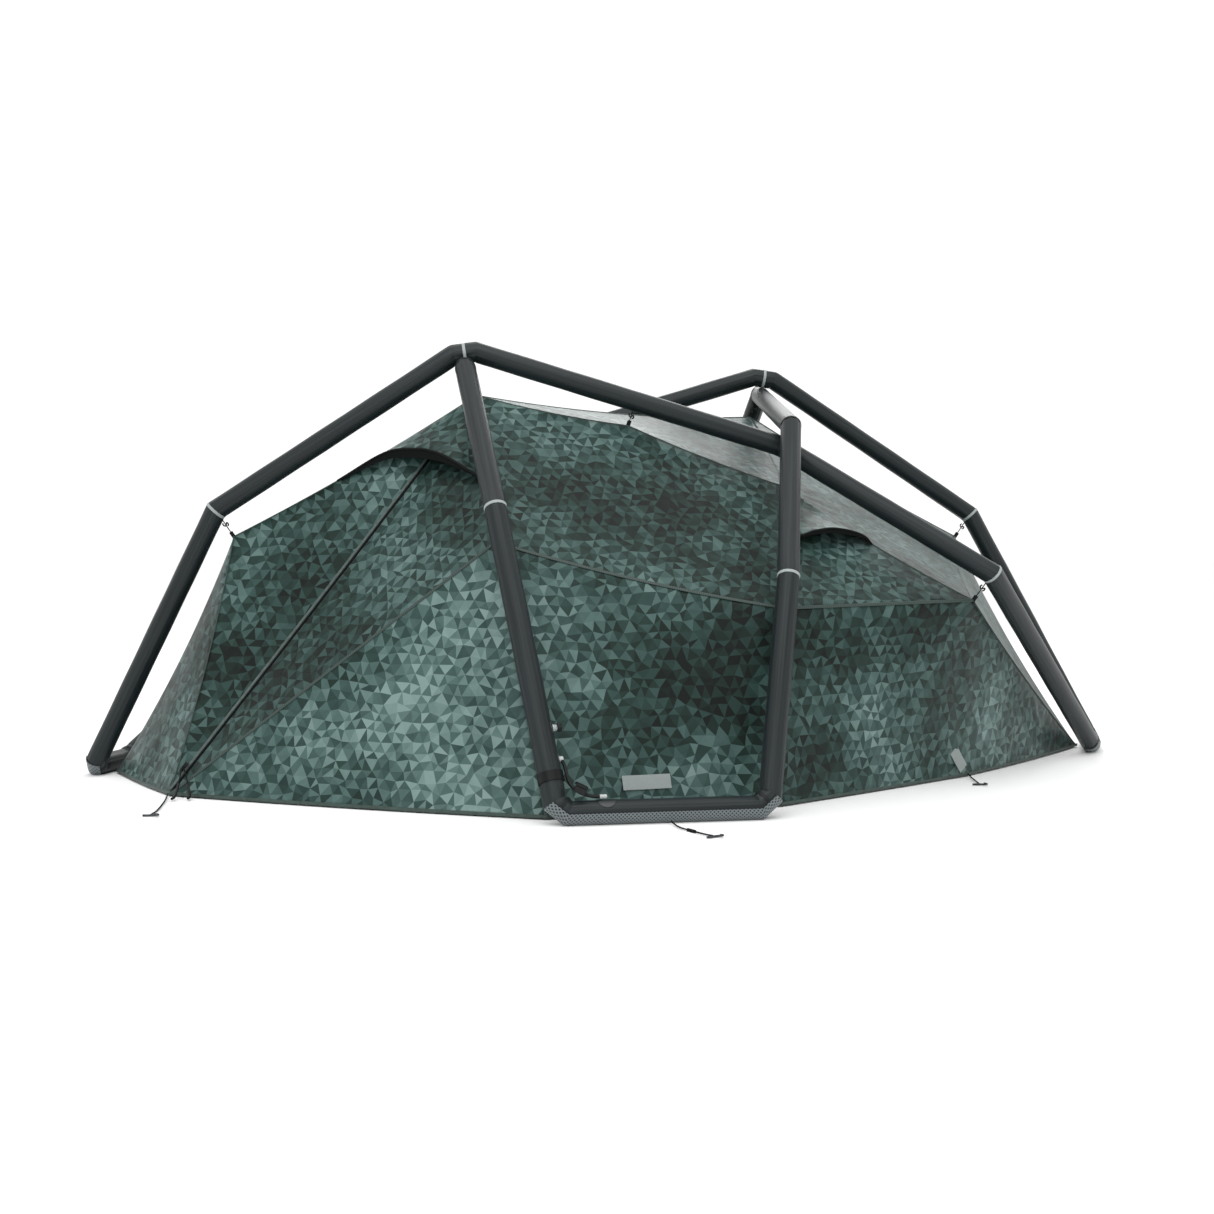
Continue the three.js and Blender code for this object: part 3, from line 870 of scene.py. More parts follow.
HOODS = {
    "door_hood": {
        "sewn": [
            *part_of(edge_line("left_shoulder", "peak"), 0.43, 1), *part_of(edge_line("peak", "left_seam"), 0, 0.6)[1:],
        ],
        "rim": [
            (-0.512, -0.590, 0.872), (-0.584, -0.520, 0.922), (-0.624, -0.458, 0.943), (-0.670, -0.408, 0.952),
            (-0.755, -0.335, 0.944),
        ],
    },
    "vent_hood": {
        "sewn": [
            *part_of(edge_line("right_seam", "saddle"), 0.55, 1),
            *part_of(edge_line("saddle", "right_shoulder"), 0, 0.48)[1:],
        ],
        "rim": [
            (0.603, -0.545, 0.706), (0.551, -0.574, 0.721), (0.490, -0.600, 0.728), (0.435, -0.617, 0.721),
            (0.390, -0.622, 0.706),
        ],
    },
}
HOOD_LIFT = 0.0035
# How far down the black strip under each rim reaches; the strip is partly vent mesh and partly painted shade.
VENT_AND_SHADE_DEEP = {"door_hood": 0.026, "vent_hood": 0.014}


def even_line(points, step):
    """Points at even steps along a broken line, an even number of steps in all."""
    total = length_of(points)
    count = max(2, 2 * round(total / step / 2))
    line, gone, k = [], 0.0, 0
    for n in range(count + 1):
        want = total * n / count
        while k < len(points) - 2 and gone + (points[k + 1] - points[k]).length < want:
            gone += (points[k + 1] - points[k]).length
            k += 1
        line.append(points[k].lerp(points[k + 1], min(1, (want - gone) / (points[k + 1] - points[k]).length)))
    return line


for number, (name, hood) in enumerate(HOODS.items()):
    sewn = even_line(hood["sewn"], PRINT_PITCH / 2)
    free = smooth_line([hood["sewn"][-1], *(Vector(p) for p in hood["rim"]), hood["sewn"][0]], 6)
    free = even_line(free, PRINT_PITCH / 2)
    lifted = [p + (p - OUTSIDE_FROM).normalized() * HOOD_LIFT for p in sewn]
    patch = cloth_patch(lifted[:-1] + free[:-1], 301 + number, shade=0.03)
    for half in ("front", "back"):
        piece, area, sides = fly_piece(f"{half}_{name}_cloth", [patch if half == "front" else half_turned(patch)])
        # The hood's inside takes the black lining, which is partly painted shade.
        piece.data.materials[1] = lining_and_painted_shade
        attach(piece, "tent")
        if name == "door_hood":
            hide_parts(f"{half}_door_hood")
        declare_cloth(area, sides)
        rim_line = free if half == "front" else turned_half(free)
        round_line(f"{half}_{name}_rim", rim_line, 0.0034, binding)
        # A black strip hangs from the rim to the wall behind it, deepest in the middle: partly a black mesh vent,
        # partly painted shade under the hood.
        rows = []
        for k, point in enumerate(rim_line):
            bow = math.sin(math.pi * k / (len(rim_line) - 1))
            under = point - Vector((0, 0, VENT_AND_SHADE_DEEP[name] * bow)) + Vector((0, -0.004 if half == "front" else 0.004, 0))
            inward = Vector((0, 0.0012 if half == "front" else -0.0012, 0))
            rows.append(
                [point.lerp(under, j / 4) for j in range(5)]
                + [point.lerp(under, j / 4) + inward for j in (4, 3, 2, 1, 0)]
            )
        places, widths = [0.015 * k for k in range(len(rows))], [0.006 * k for k in range(10)]
        vent_and_shade_piece = facing_out(loft(f"{half}_{name}_vent_mesh_and_shade", rows, lining_and_painted_shade, places, widths))
        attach(vent_and_shade_piece, "tent")


# Seams: ridges carry a thin piping, and flat seams a stitched tape of the same
# dark green. A bound hem runs round the bottom edge.
seam_cloth, seam_shader = new_material("seam_tape_green", "#22342f", 0.55, sheen_weight=0.08)
seam_uv = uv_place(seam_cloth)
seam_wave = wire(seam_cloth, "TexWave", {"Vector": seam_uv, "Scale": 52.0}, bands_direction="X")
seam_tones = ramp(seam_cloth, seam_wave.outputs["Fac"], [(0.25, "#16231f"), (0.45, "#263a35")])
join(seam_cloth, seam_tones, seam_shader, "Base Color")
bump(seam_cloth, seam_shader, seam_wave.outputs["Fac"], 0.3, 0.0004)
hem_cloth, hem_shader = new_material("hem_binding", "#25382f", 0.55, sheen_weight=0.08)
hem_grain = wire(hem_cloth, "TexNoise", {"Vector": object_place(hem_cloth), "Scale": 60.0, "Detail": 4.0})
tint(hem_cloth, hem_shader, hem_grain.outputs["Fac"], [(0.3, "#1c2d28"), (0.75, "#2e443d")])


def facing(*corners):
    """The outward direction of the plane through three corners."""
    a, b, c = (FLY[corner] for corner in corners)
    normal = (b - a).cross(c - a).normalized()
    return normal if normal.dot((a + b + c) / 3 - OUTSIDE_FROM) > 0 else -normal


def flat_tape(name, line, normal, width, thick, material, aside=0.0, lift=0.0, body="tent"):
    """A flat tape along a line, facing a direction, with softly rounded edges."""
    rows, places, gone = [], [], 0.0
    section = [(-0.5, 0), (-0.42, 0.5), (-0.15, 0.62), (0.15, 0.62), (0.42, 0.5), (0.5, 0), (0.3, -0.5), (-0.3, -0.5)]
    for k, point in enumerate(line):
        run = (line[min(k + 1, len(line) - 1)] - line[max(k - 1, 0)]).normalized()
        sideways = run.cross(normal).normalized()
        out = sideways.cross(run)
        at = point + sideways * aside + out * lift
        rows.append([at + sideways * width * x + out * thick * y for x, y in section])
        gone += (point - line[k - 1]).length if k else 0
        places.append(gone)
    widths = [width * (x + 0.5) for x, _ in section]
    piece = facing_out(loft(name, rows, material, places, widths))
    if body:
        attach(piece, body)
    return piece


PIPED = [("left_shoulder", "peak"), ("left_shoulder", "left_hem"), ("peak", "ridge"), ("ridge", "saddle"),
         ("saddle", "right_shoulder"), ("peak", "left_seam"), ("saddle", "right_seam"),
         ("left_shoulder", "back_right_shoulder"), ("right_shoulder", "back_end_hem"), ("right_seam", "right_hem")]
TAPED = {
    ("left_seam", "right_seam"): (("peak", "left_seam", "right_seam"), ("left_seam", "mid_hem", "right_hem")),
    ("right_seam", "right_shoulder"): (
        ("right_seam", "saddle", "right_shoulder"), ("right_seam", "peg_hem", "right_shoulder"),
    ),
    ("left_seam", "mid_hem"): (("left_seam", "mid_hem", "left_hem"), ("left_seam", "mid_hem", "right_hem")),
}
HEMMED = {
    ("mid_hem", "right_hem"): ("left_seam", "mid_hem", "right_hem"),
    ("right_hem", "peg_hem"): ("right_seam", "right_hem", "peg_hem"),
    ("peg_hem", "back_end_hem"): ("peg_hem", "back_end_hem", "right_shoulder"),
    ("left_hem", "end_hem"): ("left_shoulder", "left_hem", "end_hem"),
    ("left_hem", "mid_hem"): ("left_hem", "left_seam", "mid_hem"),
}


def half_line(half, line):
    return line if half == "front" else turned_half(line)


def half_way(half, way):
    return way if half == "front" else Vector((-way.x, -way.y, way.z))


PIPING_RADIUS = 0.0019
SEAM_WIDTH = 0.009
HEM_RISE = 0.0045
for half in ("front", "back"):
    for a, b in PIPED:
        round_line(f"{half}_{a}_{b}_piping", half_line(half, edge_line(a, b)), PIPING_RADIUS, seam_cloth)
    for (a, b), (one, other) in TAPED.items():
        way = half_way(half, (facing(*one) + facing(*other)).normalized())
        seam = half_line(half, edge_line(a, b))
        flat_tape(f"{half}_{a}_{b}_tape", seam, way, SEAM_WIDTH, 0.0018, seam_cloth, lift=0.0006)
    for (a, b), corners in HEMMED.items():
        way = facing(*corners)
        line = [p + (Vector((0, 0, 1)) - way * way.z).normalized() * HEM_RISE for p in edge_line(a, b)]
        on_door = (a, b) == ("left_hem", "mid_hem")
        piece = flat_tape(
            f"{half}_{a}_{b}_binding", half_line(half, line), half_way(half, way), SEAM_WIDTH, 0.0024,
            hem_cloth, body=None if on_door else "tent",
        )
        if on_door:
            bend_with_door(piece, half)
    both_faces = facing("peak", "left_hem", "left_seam") + facing("left_hem", "left_seam", "mid_hem")
    crease = half_line(half, edge_line("left_hem", "left_seam"))
    piece = flat_tape(
        f"{half}_door_crease_tape", crease, half_way(half, both_faces.normalized()), SEAM_WIDTH, 0.0016,
        seam_cloth, lift=0.0006, body=None,
    )
    bend_with_door(piece, half)
round_line("roof_ridge_piping", edge_line("peak", "back_peak"), PIPING_RADIUS, seam_cloth)

# Door zips: a black coil zip on two woven tapes, from under the hood to the hem. The
# near half goes with the door. A narrow storm flap of plain dark green lies beside it.
zip_tape, zip_shader = new_material("zip_tape_black", "#080a0a", 0.75, specular_ior_level=0.1)
zip_rib = wire(zip_tape, "TexWave", {"Vector": uv_place(zip_tape), "Scale": 160.0}, bands_direction="Y")
tint(zip_tape, zip_shader, zip_rib.outputs["Fac"], [(0.0, "#050606"), (1.0, "#0d1010")])
coil, coil_shader = new_material("zip_coil_nylon", "#060707", 0.5, specular_ior_level=0.15)
coil_grain = wire(coil, "TexNoise", {"Vector": object_place(coil), "Scale": 250.0})
tint(coil, coil_shader, coil_grain.outputs["Fac"], [(0.3, "#040505"), (0.8, "#0b0c0c")])
storm, storm_shader = new_material("storm_flap_green", "#3a4a46", 0.45, sheen_weight=0.1)
storm_grain = wire(storm, "TexNoise", {"Vector": object_place(storm), "Scale": 90.0, "Detail": 3.0})
tint(storm, storm_shader, storm_grain.outputs["Fac"], [(0.3, "#2c3b37"), (0.8, "#485955")])


def coil_line(name, line, radius, pitch, material):
    """A coil of zip teeth as a ribbed round bar along a line."""
    fine = even_line(line, pitch / 2)
    rows, places = [], []
    for k, point in enumerate(fine):
        run = (fine[min(k + 1, len(fine) - 1)] - fine[max(k - 1, 0)]).normalized()
        u = run.cross(Vector((0, 0, 1))).normalized()
        v = u.cross(run)
        r = radius * (1.15 if k % 2 else 0.75)
        rows.append([point + (u * math.cos(a) + v * math.sin(a)) * r for a in (k * math.pi / 3 for k in range(6))])
        places.append(k * pitch / 2)
    piece = facing_out(loft(name, rows, material, places, [radius * k for k in range(6)]))
    return piece


ZIP_START = 0.06
COIL_RADIUS = 0.0011
COIL_LIFT = 0.0022
COIL_PITCH = 0.004
for half in ("front", "back"):
    whole = edge_line("peak", "left_hem")
    line = half_line(half, whole[round(len(whole) * ZIP_START):-1])
    both_faces = facing("left_shoulder", "peak", "left_hem") + facing("peak", "left_hem", "left_seam")
    way = half_way(half, both_faces.normalized())
    run = (line[-1] - line[0]).normalized()
    # Sideways points from the fixed wall to the door.
    sideways = run.cross(way).normalized()
    if sideways.dot(half_way(half, FLY["left_seam"]) - line[0]) < 0:
        sideways.negate()
    aside = sideways.dot(run.cross(way))
    flat_tape(
        f"{half}_zip_fixed_tape", line, way, 0.006, 0.0012, zip_tape, -aside * 0.0034, 0.0008,
    )
    fixed_line, door_line = (
        [p + sideways * off + way * COIL_LIFT for p in line] for off in (-COIL_RADIUS, COIL_RADIUS)
    )
    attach(coil_line(f"{half}_zip_fixed_coil", fixed_line, COIL_RADIUS, COIL_PITCH, coil), "tent")
    bend_with_door(flat_tape(
        f"{half}_zip_door_tape", line, way, 0.004, 0.0012, zip_tape, aside * 0.0026, 0.0008, None,
    ), half)
    bend_with_door(coil_line(f"{half}_zip_door_coil", door_line, COIL_RADIUS, COIL_PITCH, coil), half)
    flat_tape(f"{half}_zip_storm_flap", line, way, 0.0095, 0.0042, storm, -aside * 0.0082, 0.0012)

# Zip sliders: a moulded body that the two coils run through, with a crown. Two
# cord pulls with moulded ends hang from it. They run up and down with the slider.
moulded, moulded_shader = new_material("black_moulding", "#0e1011", 0.4, specular_ior_level=0.25)
moulded_grain = wire(moulded, "TexNoise", {"Vector": object_place(moulded), "Scale": 350.0, "Detail": 3.0})
tint(moulded, moulded_shader, moulded_grain.outputs["Fac"], [(0.3, "#0a0c0c"), (0.8, "#16191a")])
bump(moulded, moulded_shader, moulded_grain.outputs["Fac"], 0.15, 0.0002)
PULLS = [
    [(0, 0, 0), (-0.004, -0.022, -0.018), (-0.008, -0.050, -0.046), (-0.014, -0.076, -0.069), (-0.020, -0.094, -0.073)],
    [(0, 0, 0), (0.010, -0.022, -0.020), (0.018, -0.048, -0.048), (0.024, -0.072, -0.070), (0.022, -0.092, -0.073)],
]
PULL_THICK = 0.0036

for half in ("front", "back"):
    node = frame["nodes"][f"{half}_zip_slider"]
    corners = np.unique(np.round([v.co for v in node.data.vertices], 5), axis=0)
    centre = Vector(corners.mean(0))
    way = half_way(half, facing("left_shoulder", "peak", "left_hem"))
    run = half_way(half, (FLY["left_hem"] - FLY["peak"]).normalized())
    aside = run.cross(way).normalized()
    way = aside.cross(run)
    rows, places = [], []
    for s, wide, tall in (
        (-0.016, 0.0035, 0.0026), (-0.0145, 0.0052, 0.0034), (-0.008, 0.0056, 0.0038), (0.0, 0.0044, 0.0039),
        (0.008, 0.0042, 0.0038), (0.0145, 0.0040, 0.0034), (0.016, 0.0026, 0.0024),
    ):
        rows.append([
            centre + run * s + aside * wide * np.sign(math.cos(a)) * abs(math.cos(a)) ** 0.55
            + way * tall * np.sign(math.sin(a)) * abs(math.sin(a)) ** 0.55
            for a in (2 * math.pi * k / 20 for k in range(20))
        ])
        places.append(s)
    body = facing_out(loft(f"{half}_slider_body", rows, moulded, places, [0.001 * k for k in range(20)]))
    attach(body, f"{half}_slider")
    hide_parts(f"{half}_zip_slider")
    crown = [
        centre + run * s + way * (0.0036 + h)
        for s, h in ((-0.011, 0), (-0.010, 0.003), (0, 0.0046), (0.010, 0.003), (0.011, 0))
    ]
    round_line(f"{half}_slider_crown", smooth_line(crown, 5), 0.0011, moulded, f"{half}_slider")
    for number, route in enumerate(PULLS):
        start = centre + way * 0.0066
        line = smooth_line([start + half_way(half, Vector(p)) for p in route], 5)
        pull = round_line(f"{half}_slider_pull_{number}", line, PULL_THICK / 2, braid, f"{half}_slider")
        tip = round_line(f"{half}_pull_end_{number}", line[-12:], 0.0037, moulded, f"{half}_slider")

# Hangers: short elastic cords that hang the fly inside the frame. Each is sewn to
# the fly's corner and hooked to a tab on the tube.
CORNER_HANGERS = {
    "left_elbow": ("left_shoulder", "arch_left_rise"), "right_elbow": ("right_shoulder", "arch_right_leg"),
    "crossing": ("saddle", "arch_slope"), "apex": ("peak", "hoop_left_thigh"),
    "left_knee": ("left_seam", "hoop_left_leg"),
    "right_knee": ("right_seam", "hoop_right_thigh"), "ridge": ("ridge", "arch_ridge"),
}
HANGER_THICK = 0.003


def nearest_on(a, b, point):
    along = b - a
    return a + along * max(0.0, min(1.0, (point - a).dot(along) / along.length_squared))


for half in ("front", "back"):
    for name, (corner, tube_name) in CORNER_HANGERS.items():
        tube = ring_data[f"{half}_{tube_name}"]
        cloth_at = half_way(half, FLY[corner])
        if name == "ridge" or name.endswith("knee") and name != "right_knee":
            axis_at = nearest_on(tube["start"], tube["end"], cloth_at)
        else:
            axis_at = tube["start"]
        if name == "right_knee":
            axis_at = nearest_on(tube["start"], ring_data[f"{half}_hoop_right_leg"]["start"], cloth_at)
        inward = (cloth_at - axis_at).normalized()
        skin = axis_at + inward * (TUBE_RADIUS + 0.0005)
        gap = (cloth_at - skin).length
        hook_at = skin + inward * min(0.020, gap * 0.3)
        sag_line = [skin, skin.lerp(cloth_at, 0.35), skin.lerp(cloth_at, 0.7), cloth_at]
        line = smooth_line(sag_line, 6)
        cord = round_line(f"{half}_{name}_hanger", line, HANGER_THICK / 2, braid)
        side = inward.cross(Vector((0.3, 0.9, 0.2))).normalized()
        hook = smooth_line([
            hook_at + side * a * 0.001 + inward * b * 0.001
            for a, b in ((-5, -7), (-7, -2), (-4, 3), (0, 4), (3, 0), (7, -2), (8, 4), (4, 8))
        ], 4)
        hook_piece = round_line(f"{half}_{name}_hook", hook, 0.0021, moulded)
        tab = [cloth_at - inward * 0.016, cloth_at, cloth_at + inward * 0.010]
        tab_piece = flat_tape(f"{half}_{name}_tab", tab, side.cross(inward), 0.012, 0.0018, binding)

# Inflation valve: a grey screw body welded to the leg on a round patch, and a
# black screw cap with a ribbed grip, which turns on it.
grey_moulded, grey_shader = new_material("grey_moulding", "#a9afae", 0.45)
grey_grain = wire(grey_moulded, "TexNoise", {"Vector": object_place(grey_moulded), "Scale": 200.0, "Detail": 3.0})
tint(grey_moulded, grey_shader, grey_grain.outputs["Fac"], [(0.3, "#9ba2a1"), (0.8, "#b8bfbe")])
weld_film, weld_shader = new_material("weld_patch_film", "#14191a", 0.3, specular_ior_level=0.5)
weld_grain = wire(weld_film, "TexNoise", {"Vector": object_place(weld_film), "Scale": 80.0, "Detail": 4.0})
tint(weld_film, weld_shader, weld_grain.outputs["Fac"], [(0.3, "#12181a"), (0.8, "#1c2325")])
cap_joint = joint_of["valve_cap_turn"]
valve_axis = Vector(cap_joint["axis"]).normalized()


def turned_part(name, at, axis, profile, material, ribs=0, depth=0.0, sides=40):
    """A turned part: (distance, radius) steps along an axis, with optional grip ribs."""
    u = axis.cross(Vector((0, 0, 1))).normalized()
    v = axis.cross(u)
    rows = []
    for far, radius in profile:
        ring = []
        for k in range(sides):
            a = 2 * math.pi * k / sides
            r = radius - (depth if ribs and k % (sides // ribs) == 0 and radius > 0.004 else 0)
            ring.append(at + axis * far + (u * math.cos(a) + v * math.sin(a)) * r)
        rows.append(ring)
    piece = facing_out(loft(name, rows, material, [far for far, _ in profile], [0.001 * k for k in range(sides)]))
    return piece


def tube_patch(name, axis_at, along, out, radius, material):
    """A round film welded to a tube, bent round its surface."""
    sideways = along.cross(out).normalized()
    rows = []
    for rise, shrink in (
        (0.0, 0.0001), (0.0006, 0.35), (0.0007, 0.7), (0.0006, 0.96), (-0.0004, 1.0), (-0.0008, 0.6), (-0.0008, 0.0001),
    ):
        ring = []
        for k in range(32):
            a = 2 * math.pi * k / 32
            x, y = radius * shrink * math.cos(a), radius * shrink * math.sin(a)
            turn = y / TUBE_RADIUS
            around = out * math.cos(turn) + sideways * math.sin(turn)
            ring.append(axis_at + along * x + around * (TUBE_RADIUS + 0.0008 + rise))
        rows.append(ring)
    piece = facing_out(loft(name, rows, material, [0.003 * k for k in range(7)], [0.002 * k for k in range(32)]))
    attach(piece, "tent")
    return piece


low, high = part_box("valve_body")
body_at = (low + high) / 2
body_piece = turned_part("valve_threaded_body", body_at - valve_axis * 0.0055, valve_axis, [
    (0, 0.002), (0, 0.0098), (0.0022, 0.0098), (0.003, 0.0078), (0.0042, 0.0078), (0.0048, 0.0086), (0.0056, 0.0078),
    (0.0066, 0.0086), (0.0074, 0.0078), (0.0086, 0.0086), (0.0096, 0.0076), (0.0108, 0.0070), (0.0108, 0.002),
], grey_moulded)
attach(body_piece, "tent")
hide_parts("valve_body")
low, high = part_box("valve_cap")
cap_at = (low + high) / 2
cap_piece = turned_part("valve_screw_cap", cap_at - valve_axis * 0.0054, valve_axis, [
    (0, 0.003), (0, 0.0106), (0.0008, 0.0113), (0.0086, 0.0113), (0.0102, 0.0104), (0.0108, 0.0088), (0.0098, 0.0072),
    (0.0098, 0.001),
], moulded, ribs=20, depth=0.0009)
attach(cap_piece, "cap")
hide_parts("valve_cap")
leg = ring_data["front_hoop_left_leg"]
leg_up = (leg["start"] - leg["end"]).normalized()
valve_foot = nearest_on(leg["start"], leg["end"], body_at)
tube_patch("valve_weld_patch", valve_foot, leg_up, (body_at - valve_foot).normalized(), 0.021, weld_film)

# Air link fittings: a moulded grey spigot on the leg, and a tapered elbow with a
# nozzle on the ground bar. Each is welded to its tube through a round film patch.
hose_in = hose_line[0]
leg_foot = nearest_on(leg["start"], leg["end"], hose_in)
leg_out = (hose_in - leg_foot).normalized()
tube_patch("leg_hose_patch", leg_foot, leg_up, leg_out, 0.016, weld_film)
spigot_reach = (hose_in - leg_foot).length - TUBE_RADIUS
spigot = turned_part("leg_hose_spigot", leg_foot + leg_out * (TUBE_RADIUS - 0.0005), leg_out, [
    (0, 0.002), (0, 0.0085), (0.002, 0.0085), (0.004, 0.0062), (spigot_reach + 0.004, 0.0058),
    (spigot_reach + 0.006, 0.004), (spigot_reach + 0.006, 0.001),
], grey_moulded)
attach(spigot, "tent")
bar = ring_data["front_ground_bar"]
hose_end = hose_line[-1]
bar_foot = nearest_on(bar["start"], bar["end"], hose_end + Vector((0.010, 0, 0)))
tube_patch("bar_hose_patch", bar_foot, bar["run"], Vector((0, -0.25, 0.97)).normalized(), 0.024, weld_film)
ELBOW_RISE = hose_end.z - bar_foot.z - TUBE_RADIUS + 0.010
elbow = turned_part("bar_hose_elbow", bar_foot + Vector((0, 0, TUBE_RADIUS - 0.001)), Vector((0, 0, 1)), [
    (0, 0.002), (0, 0.0100), (0.0025, 0.0096), (0.0040, 0.0078), (ELBOW_RISE - 0.002, 0.0054), (ELBOW_RISE, 0.0040),
    (ELBOW_RISE, 0.001),
], grey_moulded)
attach(elbow, "tent")
nozzle_line = [
    hose_end + Vector((-0.006, 0, 0)), hose_end + Vector((0.004, 0, 0)),
    Vector((bar_foot.x, bar_foot.y, hose_end.z)),
]
round_line("bar_hose_nozzle", nozzle_line, 0.0056, grey_moulded)

# Pinch clamp: a base beside the hose and a lever over it, both moulded black. The
# lever swings up off the hose.
def rounded_block(name, low, high, material, rim=0.002, dip=0.0, body="tent"):
    """A moulded block with rounded edges and a dished top, inside a CAD box."""
    centre, half_size = (low + high) / 2, (high - low) / 2
    rows = []
    for level, inset in ((-1, 1.0), (-1, 0.35), (-0.86, 0.0), (0.0, 0.0), (0.86, 0.0), (1, 0.35), (1, 1.0)):
        ring = []
        for k in range(28):
            a = 2 * math.pi * k / 28
            x = np.sign(math.cos(a)) * abs(math.cos(a)) ** 0.35 * (half_size.x - rim * inset * 1.6)
            y = np.sign(math.sin(a)) * abs(math.sin(a)) ** 0.35 * (half_size.y - rim * inset * 1.6)
            ring.append(centre + Vector((x, y, level * half_size.z)))
        rows.append(ring)
    rows.append([centre + Vector(((p - centre).x * 0.6, (p - centre).y * 0.6, half_size.z - dip)) for p in rows[-1]])
    rows = [[CLAMP_AT + CLAMP_TURN @ (p - CLAMP_AT) for p in row] for row in rows]
    piece = facing_out(loft(name, rows, material, [0.002 * k for k in range(8)], [0.002 * k for k in range(28)]))
    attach(piece, body)
    return piece


base_low, base_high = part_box("clamp_base")
CLAMP_AT = (base_low + base_high) / 2
nearest = min(range(len(hose_line)), key=lambda k: (hose_line[k] - CLAMP_AT).length)
hose_run = hose_line[min(nearest + 2, len(hose_line) - 1)] - hose_line[nearest - 2]
CLAMP_TURN = Vector((1, 0, 0)).rotation_difference(Vector((hose_run.x, 0, hose_run.z)).normalized())
base_piece = rounded_block("clamp_base_block", base_low, base_high, moulded, dip=0.001)
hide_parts("clamp_base")
low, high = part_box("clamp_lever")
lever_piece = rounded_block("clamp_lever_block", low, high, moulded, dip=0.0012, body="lever")
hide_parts("clamp_lever")
for number in range(7):
    rib_x = low.x + 0.005 + (high.x - low.x - 0.010) * number / 6
    spot = Vector((rib_x, (low.y + high.y) / 2 + 0.006, high.z + 0.0002))
    grip_line = [CLAMP_AT + CLAMP_TURN @ (spot + Vector((0, y, 0)) - CLAMP_AT) for y in (-0.006, 0.004)]
    round_line(f"clamp_grip_rib_{number}", grip_line, 0.0009, moulded, "lever")

# Leg strap: a wide band of black ribbed webbing, sewn round the left leg of the
# front hoop a little above its corner.
webbing, webbing_shader = new_material("black_webbing", "#060707", 0.28, specular_ior_level=0.2)
webbing_rib = wire(webbing, "TexWave", {"Vector": uv_place(webbing), "Scale": 120.0}, bands_direction="X")
tint(webbing, webbing_shader, webbing_rib.outputs["Fac"], [(0.0, "#040505"), (1.0, "#0b0d0e")])
bump(webbing, webbing_shader, webbing_rib.outputs["Fac"], 0.4, 0.0005)
strap_at = leg["end"] + leg_up * 0.090
strap = hoop_band(
    "leg_strap", strap_at, -leg_up, -leg_up, leg_up, 0.0125, TUBE_RADIUS - 0.0004, TUBE_RADIUS + 0.0038, webbing,
)
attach(strap, "tent")

# Labels: a blank woven care label sewn low on the front wall, and a blank grey loop
# label on the hem where the right peg cord starts.
label_cloth, label_shader = new_material("blank_label", "#8d9694", 0.7)
label_weave = wire(label_cloth, "TexBrick", {
    "Vector": uv_place(label_cloth), "Scale": 1.0, "Mortar Size": 0.0003, "Brick Width": 0.0016, "Row Height": 0.0012,
    "Color1": paint("#87908e"), "Color2": paint("#949d9b"), "Mortar": paint("#7a8381"),
})
join(label_cloth, label_weave.outputs["Color"], label_shader, "Base Color")


def cloth_label(name, centre, along, normal, length, height):
    """A thin woven label that lies on a surface, slightly curled at its edges."""
    along = (along - normal * along.dot(normal)).normalized()
    up = normal.cross(along)
    rows = []
    for side, lift in ((1, 0.0014), (-1, 0.0006)):
        block = []
        for i in range(9):
            x = (i / 8 - 0.5) * length
            row = [
                centre + along * x + up * (j / 6 - 0.5) * height
                + normal * (lift + 0.0007 * (2 * abs(i / 8 - 0.5)) ** 3 + 0.0003 * math.sin(i * 1.3 + j))
                for j in range(7)
            ]
            block.append(row)
        rows.append(block)
    rings = [top + under[::-1] for top, under in zip(*rows)]
    widths = [height * j / 6 for j in range(7)]
    piece = facing_out(loft(name, rings, label_cloth, [length * i / 8 for i in range(9)], widths + widths[::-1]))
    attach(piece, "tent")
    return piece


wall_way = facing("left_seam", "mid_hem", "right_hem")
wall_run = (FLY["right_hem"] - FLY["mid_hem"]).normalized()


def on_plane(point, at, normal):
    """Moves a point onto the plane through a point."""
    return point - normal * (point - at).dot(normal)


corner_way = facing("right_seam", "right_hem", "peg_hem")
corner_up = (Vector((0, 0, 1)) - corner_way * corner_way.z).normalized()
loop_at = on_plane(Vector((0.880, -0.541, 0.055)), FLY["peg_hem"], corner_way) + corner_way * 0.014
loop_run = corner_way.cross(corner_up) + corner_up * 1.5
cloth_label("hem_loop_label", loop_at, loop_run, corner_way, 0.070, 0.040)
label_at = on_plane(Vector((-0.113, -0.972, 0.078)), FLY["mid_hem"], wall_way) + wall_way * 0.004
cloth_label("front_wall_label", label_at, wall_run, wall_way, 0.130, 0.038)


# Groundsheet: one welded sheet of coated grey cloth under the fly, with a taped rim.
# It lies loose on the ground, in slow wrinkles, and clips in inside the hem.
floor_cloth, floor_cloth_shader = new_material("groundsheet_cloth", "#2b2f31", 0.62, specular_ior_level=0.3)
floor_weave = wire(floor_cloth, "TexBrick", {
    "Vector": uv_place(floor_cloth), "Scale": 1.0, "Mortar Size": 0.00035, "Brick Width": 0.006, "Row Height": 0.006,
    "Color1": paint("#292e30"), "Color2": paint("#2e3335"), "Mortar": paint("#3a4042"),
}, offset=0.0)
join(floor_cloth, floor_weave.outputs["Color"], floor_cloth_shader, "Base Color")
bump(floor_cloth, floor_cloth_shader, floor_weave.outputs["Fac"], 0.2, 0.0002)
FLOOR_CORNERS = [(-1.180, -0.400), (-0.380, -0.680), (0.300, -0.640), (1.180, -0.230)]
FLOOR_CORNERS += [(-x, -y) for x, y in FLOOR_CORNERS]
FLOOR_RINGS = 36
FLOOR_STEPS = 24

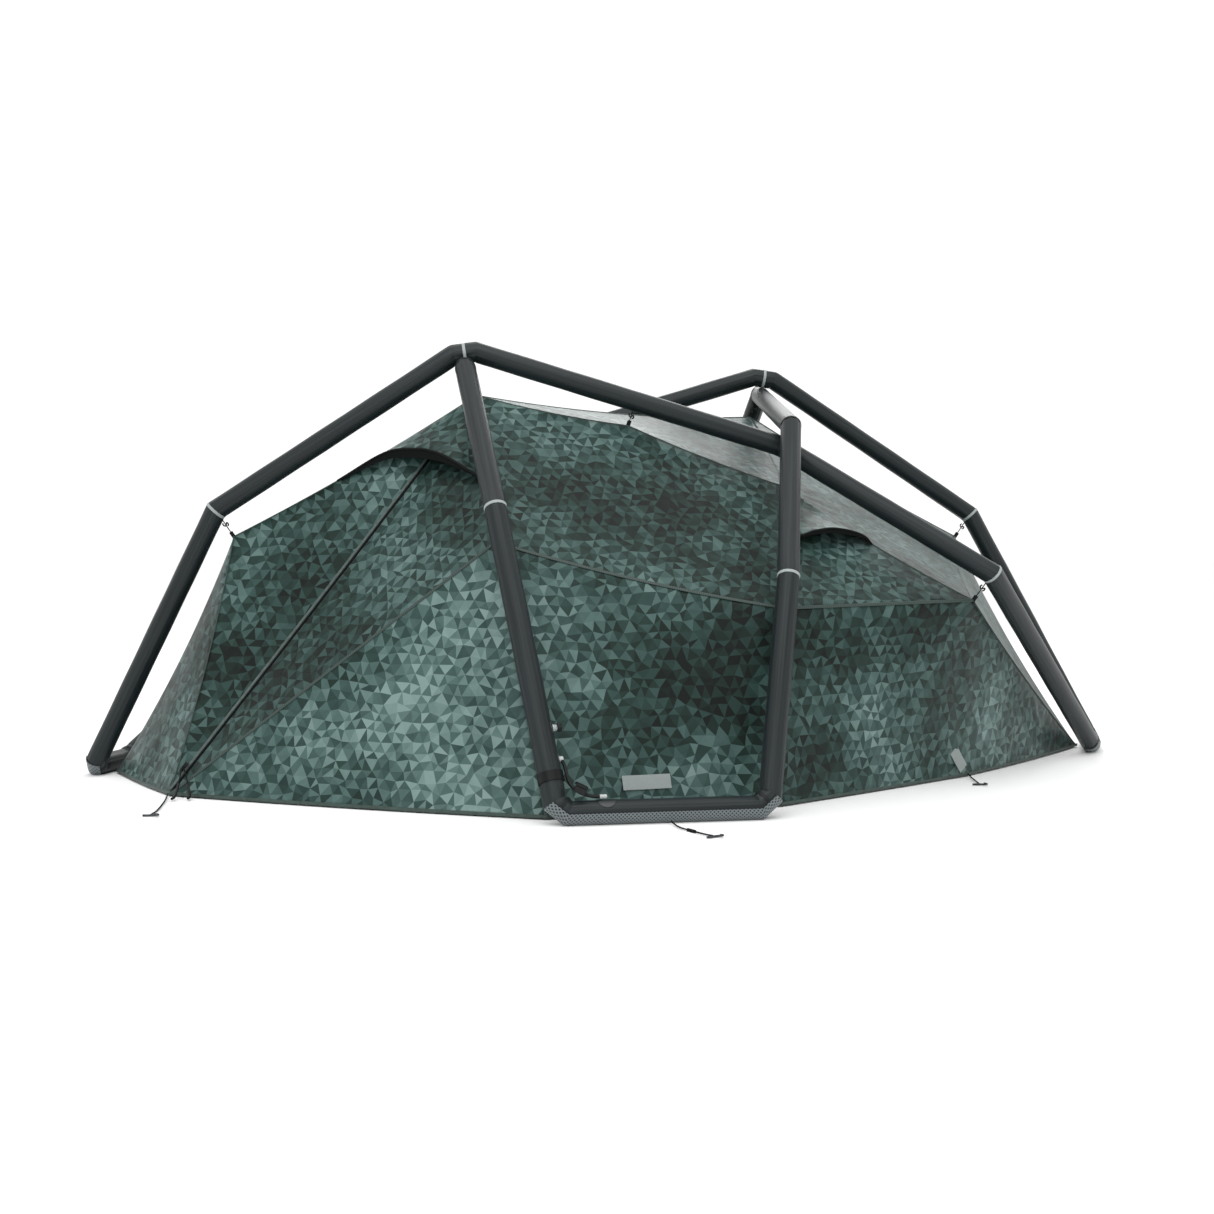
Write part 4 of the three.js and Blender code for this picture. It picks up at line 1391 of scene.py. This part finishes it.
floor_rim = [
    Vector((ax + (bx - ax) * k / FLOOR_STEPS, ay + (by - ay) * k / FLOOR_STEPS, 0))
    for (ax, ay), (bx, by) in zip(FLOOR_CORNERS, FLOOR_CORNERS[1:] + FLOOR_CORNERS[:1]) for k in range(FLOOR_STEPS)
]
floor_points = [Vector((0, 0, 0.003))]
for ring in range(1, FLOOR_RINGS + 1):
    for edge in floor_rim:
        spot = edge * (ring / FLOOR_RINGS)
        spot.z = 0.0026 + 0.0022 * noise.noise(spot * 5.0 + Vector((2, 9, 4)))
        floor_points.append(spot)
across = len(floor_rim)
floor_faces = [(0, 1 + j, 1 + (j + 1) % across) for j in range(across)]
for ring in range(FLOOR_RINGS - 1):
    inner, outer = 1 + ring * across, 1 + (ring + 1) * across
    floor_faces += [(inner + j, outer + j, outer + (j + 1) % across, inner + (j + 1) % across) for j in range(across)]
floor_flats = [[floor_points[k].xy for k in face] for face in floor_faces]
groundsheet = finish_mesh("groundsheet_cloth", floor_points, floor_faces, floor_cloth, floor_flats)
groundsheet_thickness = groundsheet.modifiers.new("cloth_thickness", "SOLIDIFY")
groundsheet_thickness.thickness = 0.0006
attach(groundsheet, "tent")
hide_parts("groundsheet")
taped_rim = [floor_points[j - across] + Vector((0, 0, 0.0002)) for j in [*range(across), 0]]
round_line("groundsheet_rim", taped_rim, 0.0014, dark_tape)

# Floor and light: a plain white studio floor under a wide soft light.
floor_material, _ = new_material("studio_floor", "#f5f5f5", 0.95)
floor_square = [(-40, -40, 0), (40, -40, 0), (40, 40, 0), (-40, 40, 0)]
floor = finish_mesh("studio_floor", floor_square, [(0, 1, 2, 3)], floor_material)
world = bpy.data.worlds.new("studio")
bpy.context.scene.world = world
world.use_nodes = True
world.node_tree.nodes["Background"].inputs["Color"].default_value = (1, 1, 1, 1)
world.node_tree.nodes["Background"].inputs["Strength"].default_value = 1.1
bpy.context.scene.view_settings.view_transform = "Standard"
for lamp_name, spot, size, power in (
    ("top_light", (-0.5, -2.5, 5.5), 5.0, 140), ("front_light", (-2.5, -6.5, 3.5), 3.0, 40),
    ("back_light", (2.0, 5.5, 4.5), 4.0, 125),
):
    lamp = bpy.data.objects.new(lamp_name, bpy.data.lights.new(lamp_name, "AREA"))
    lamp.data.size = size
    lamp.data.energy = power
    lamp.location = spot
    lamp.rotation_euler = (Vector((0, 0, 0.4)) - Vector(spot)).to_track_quat("-Z", "Y").to_euler()
    bpy.context.collection.objects.link(lamp)
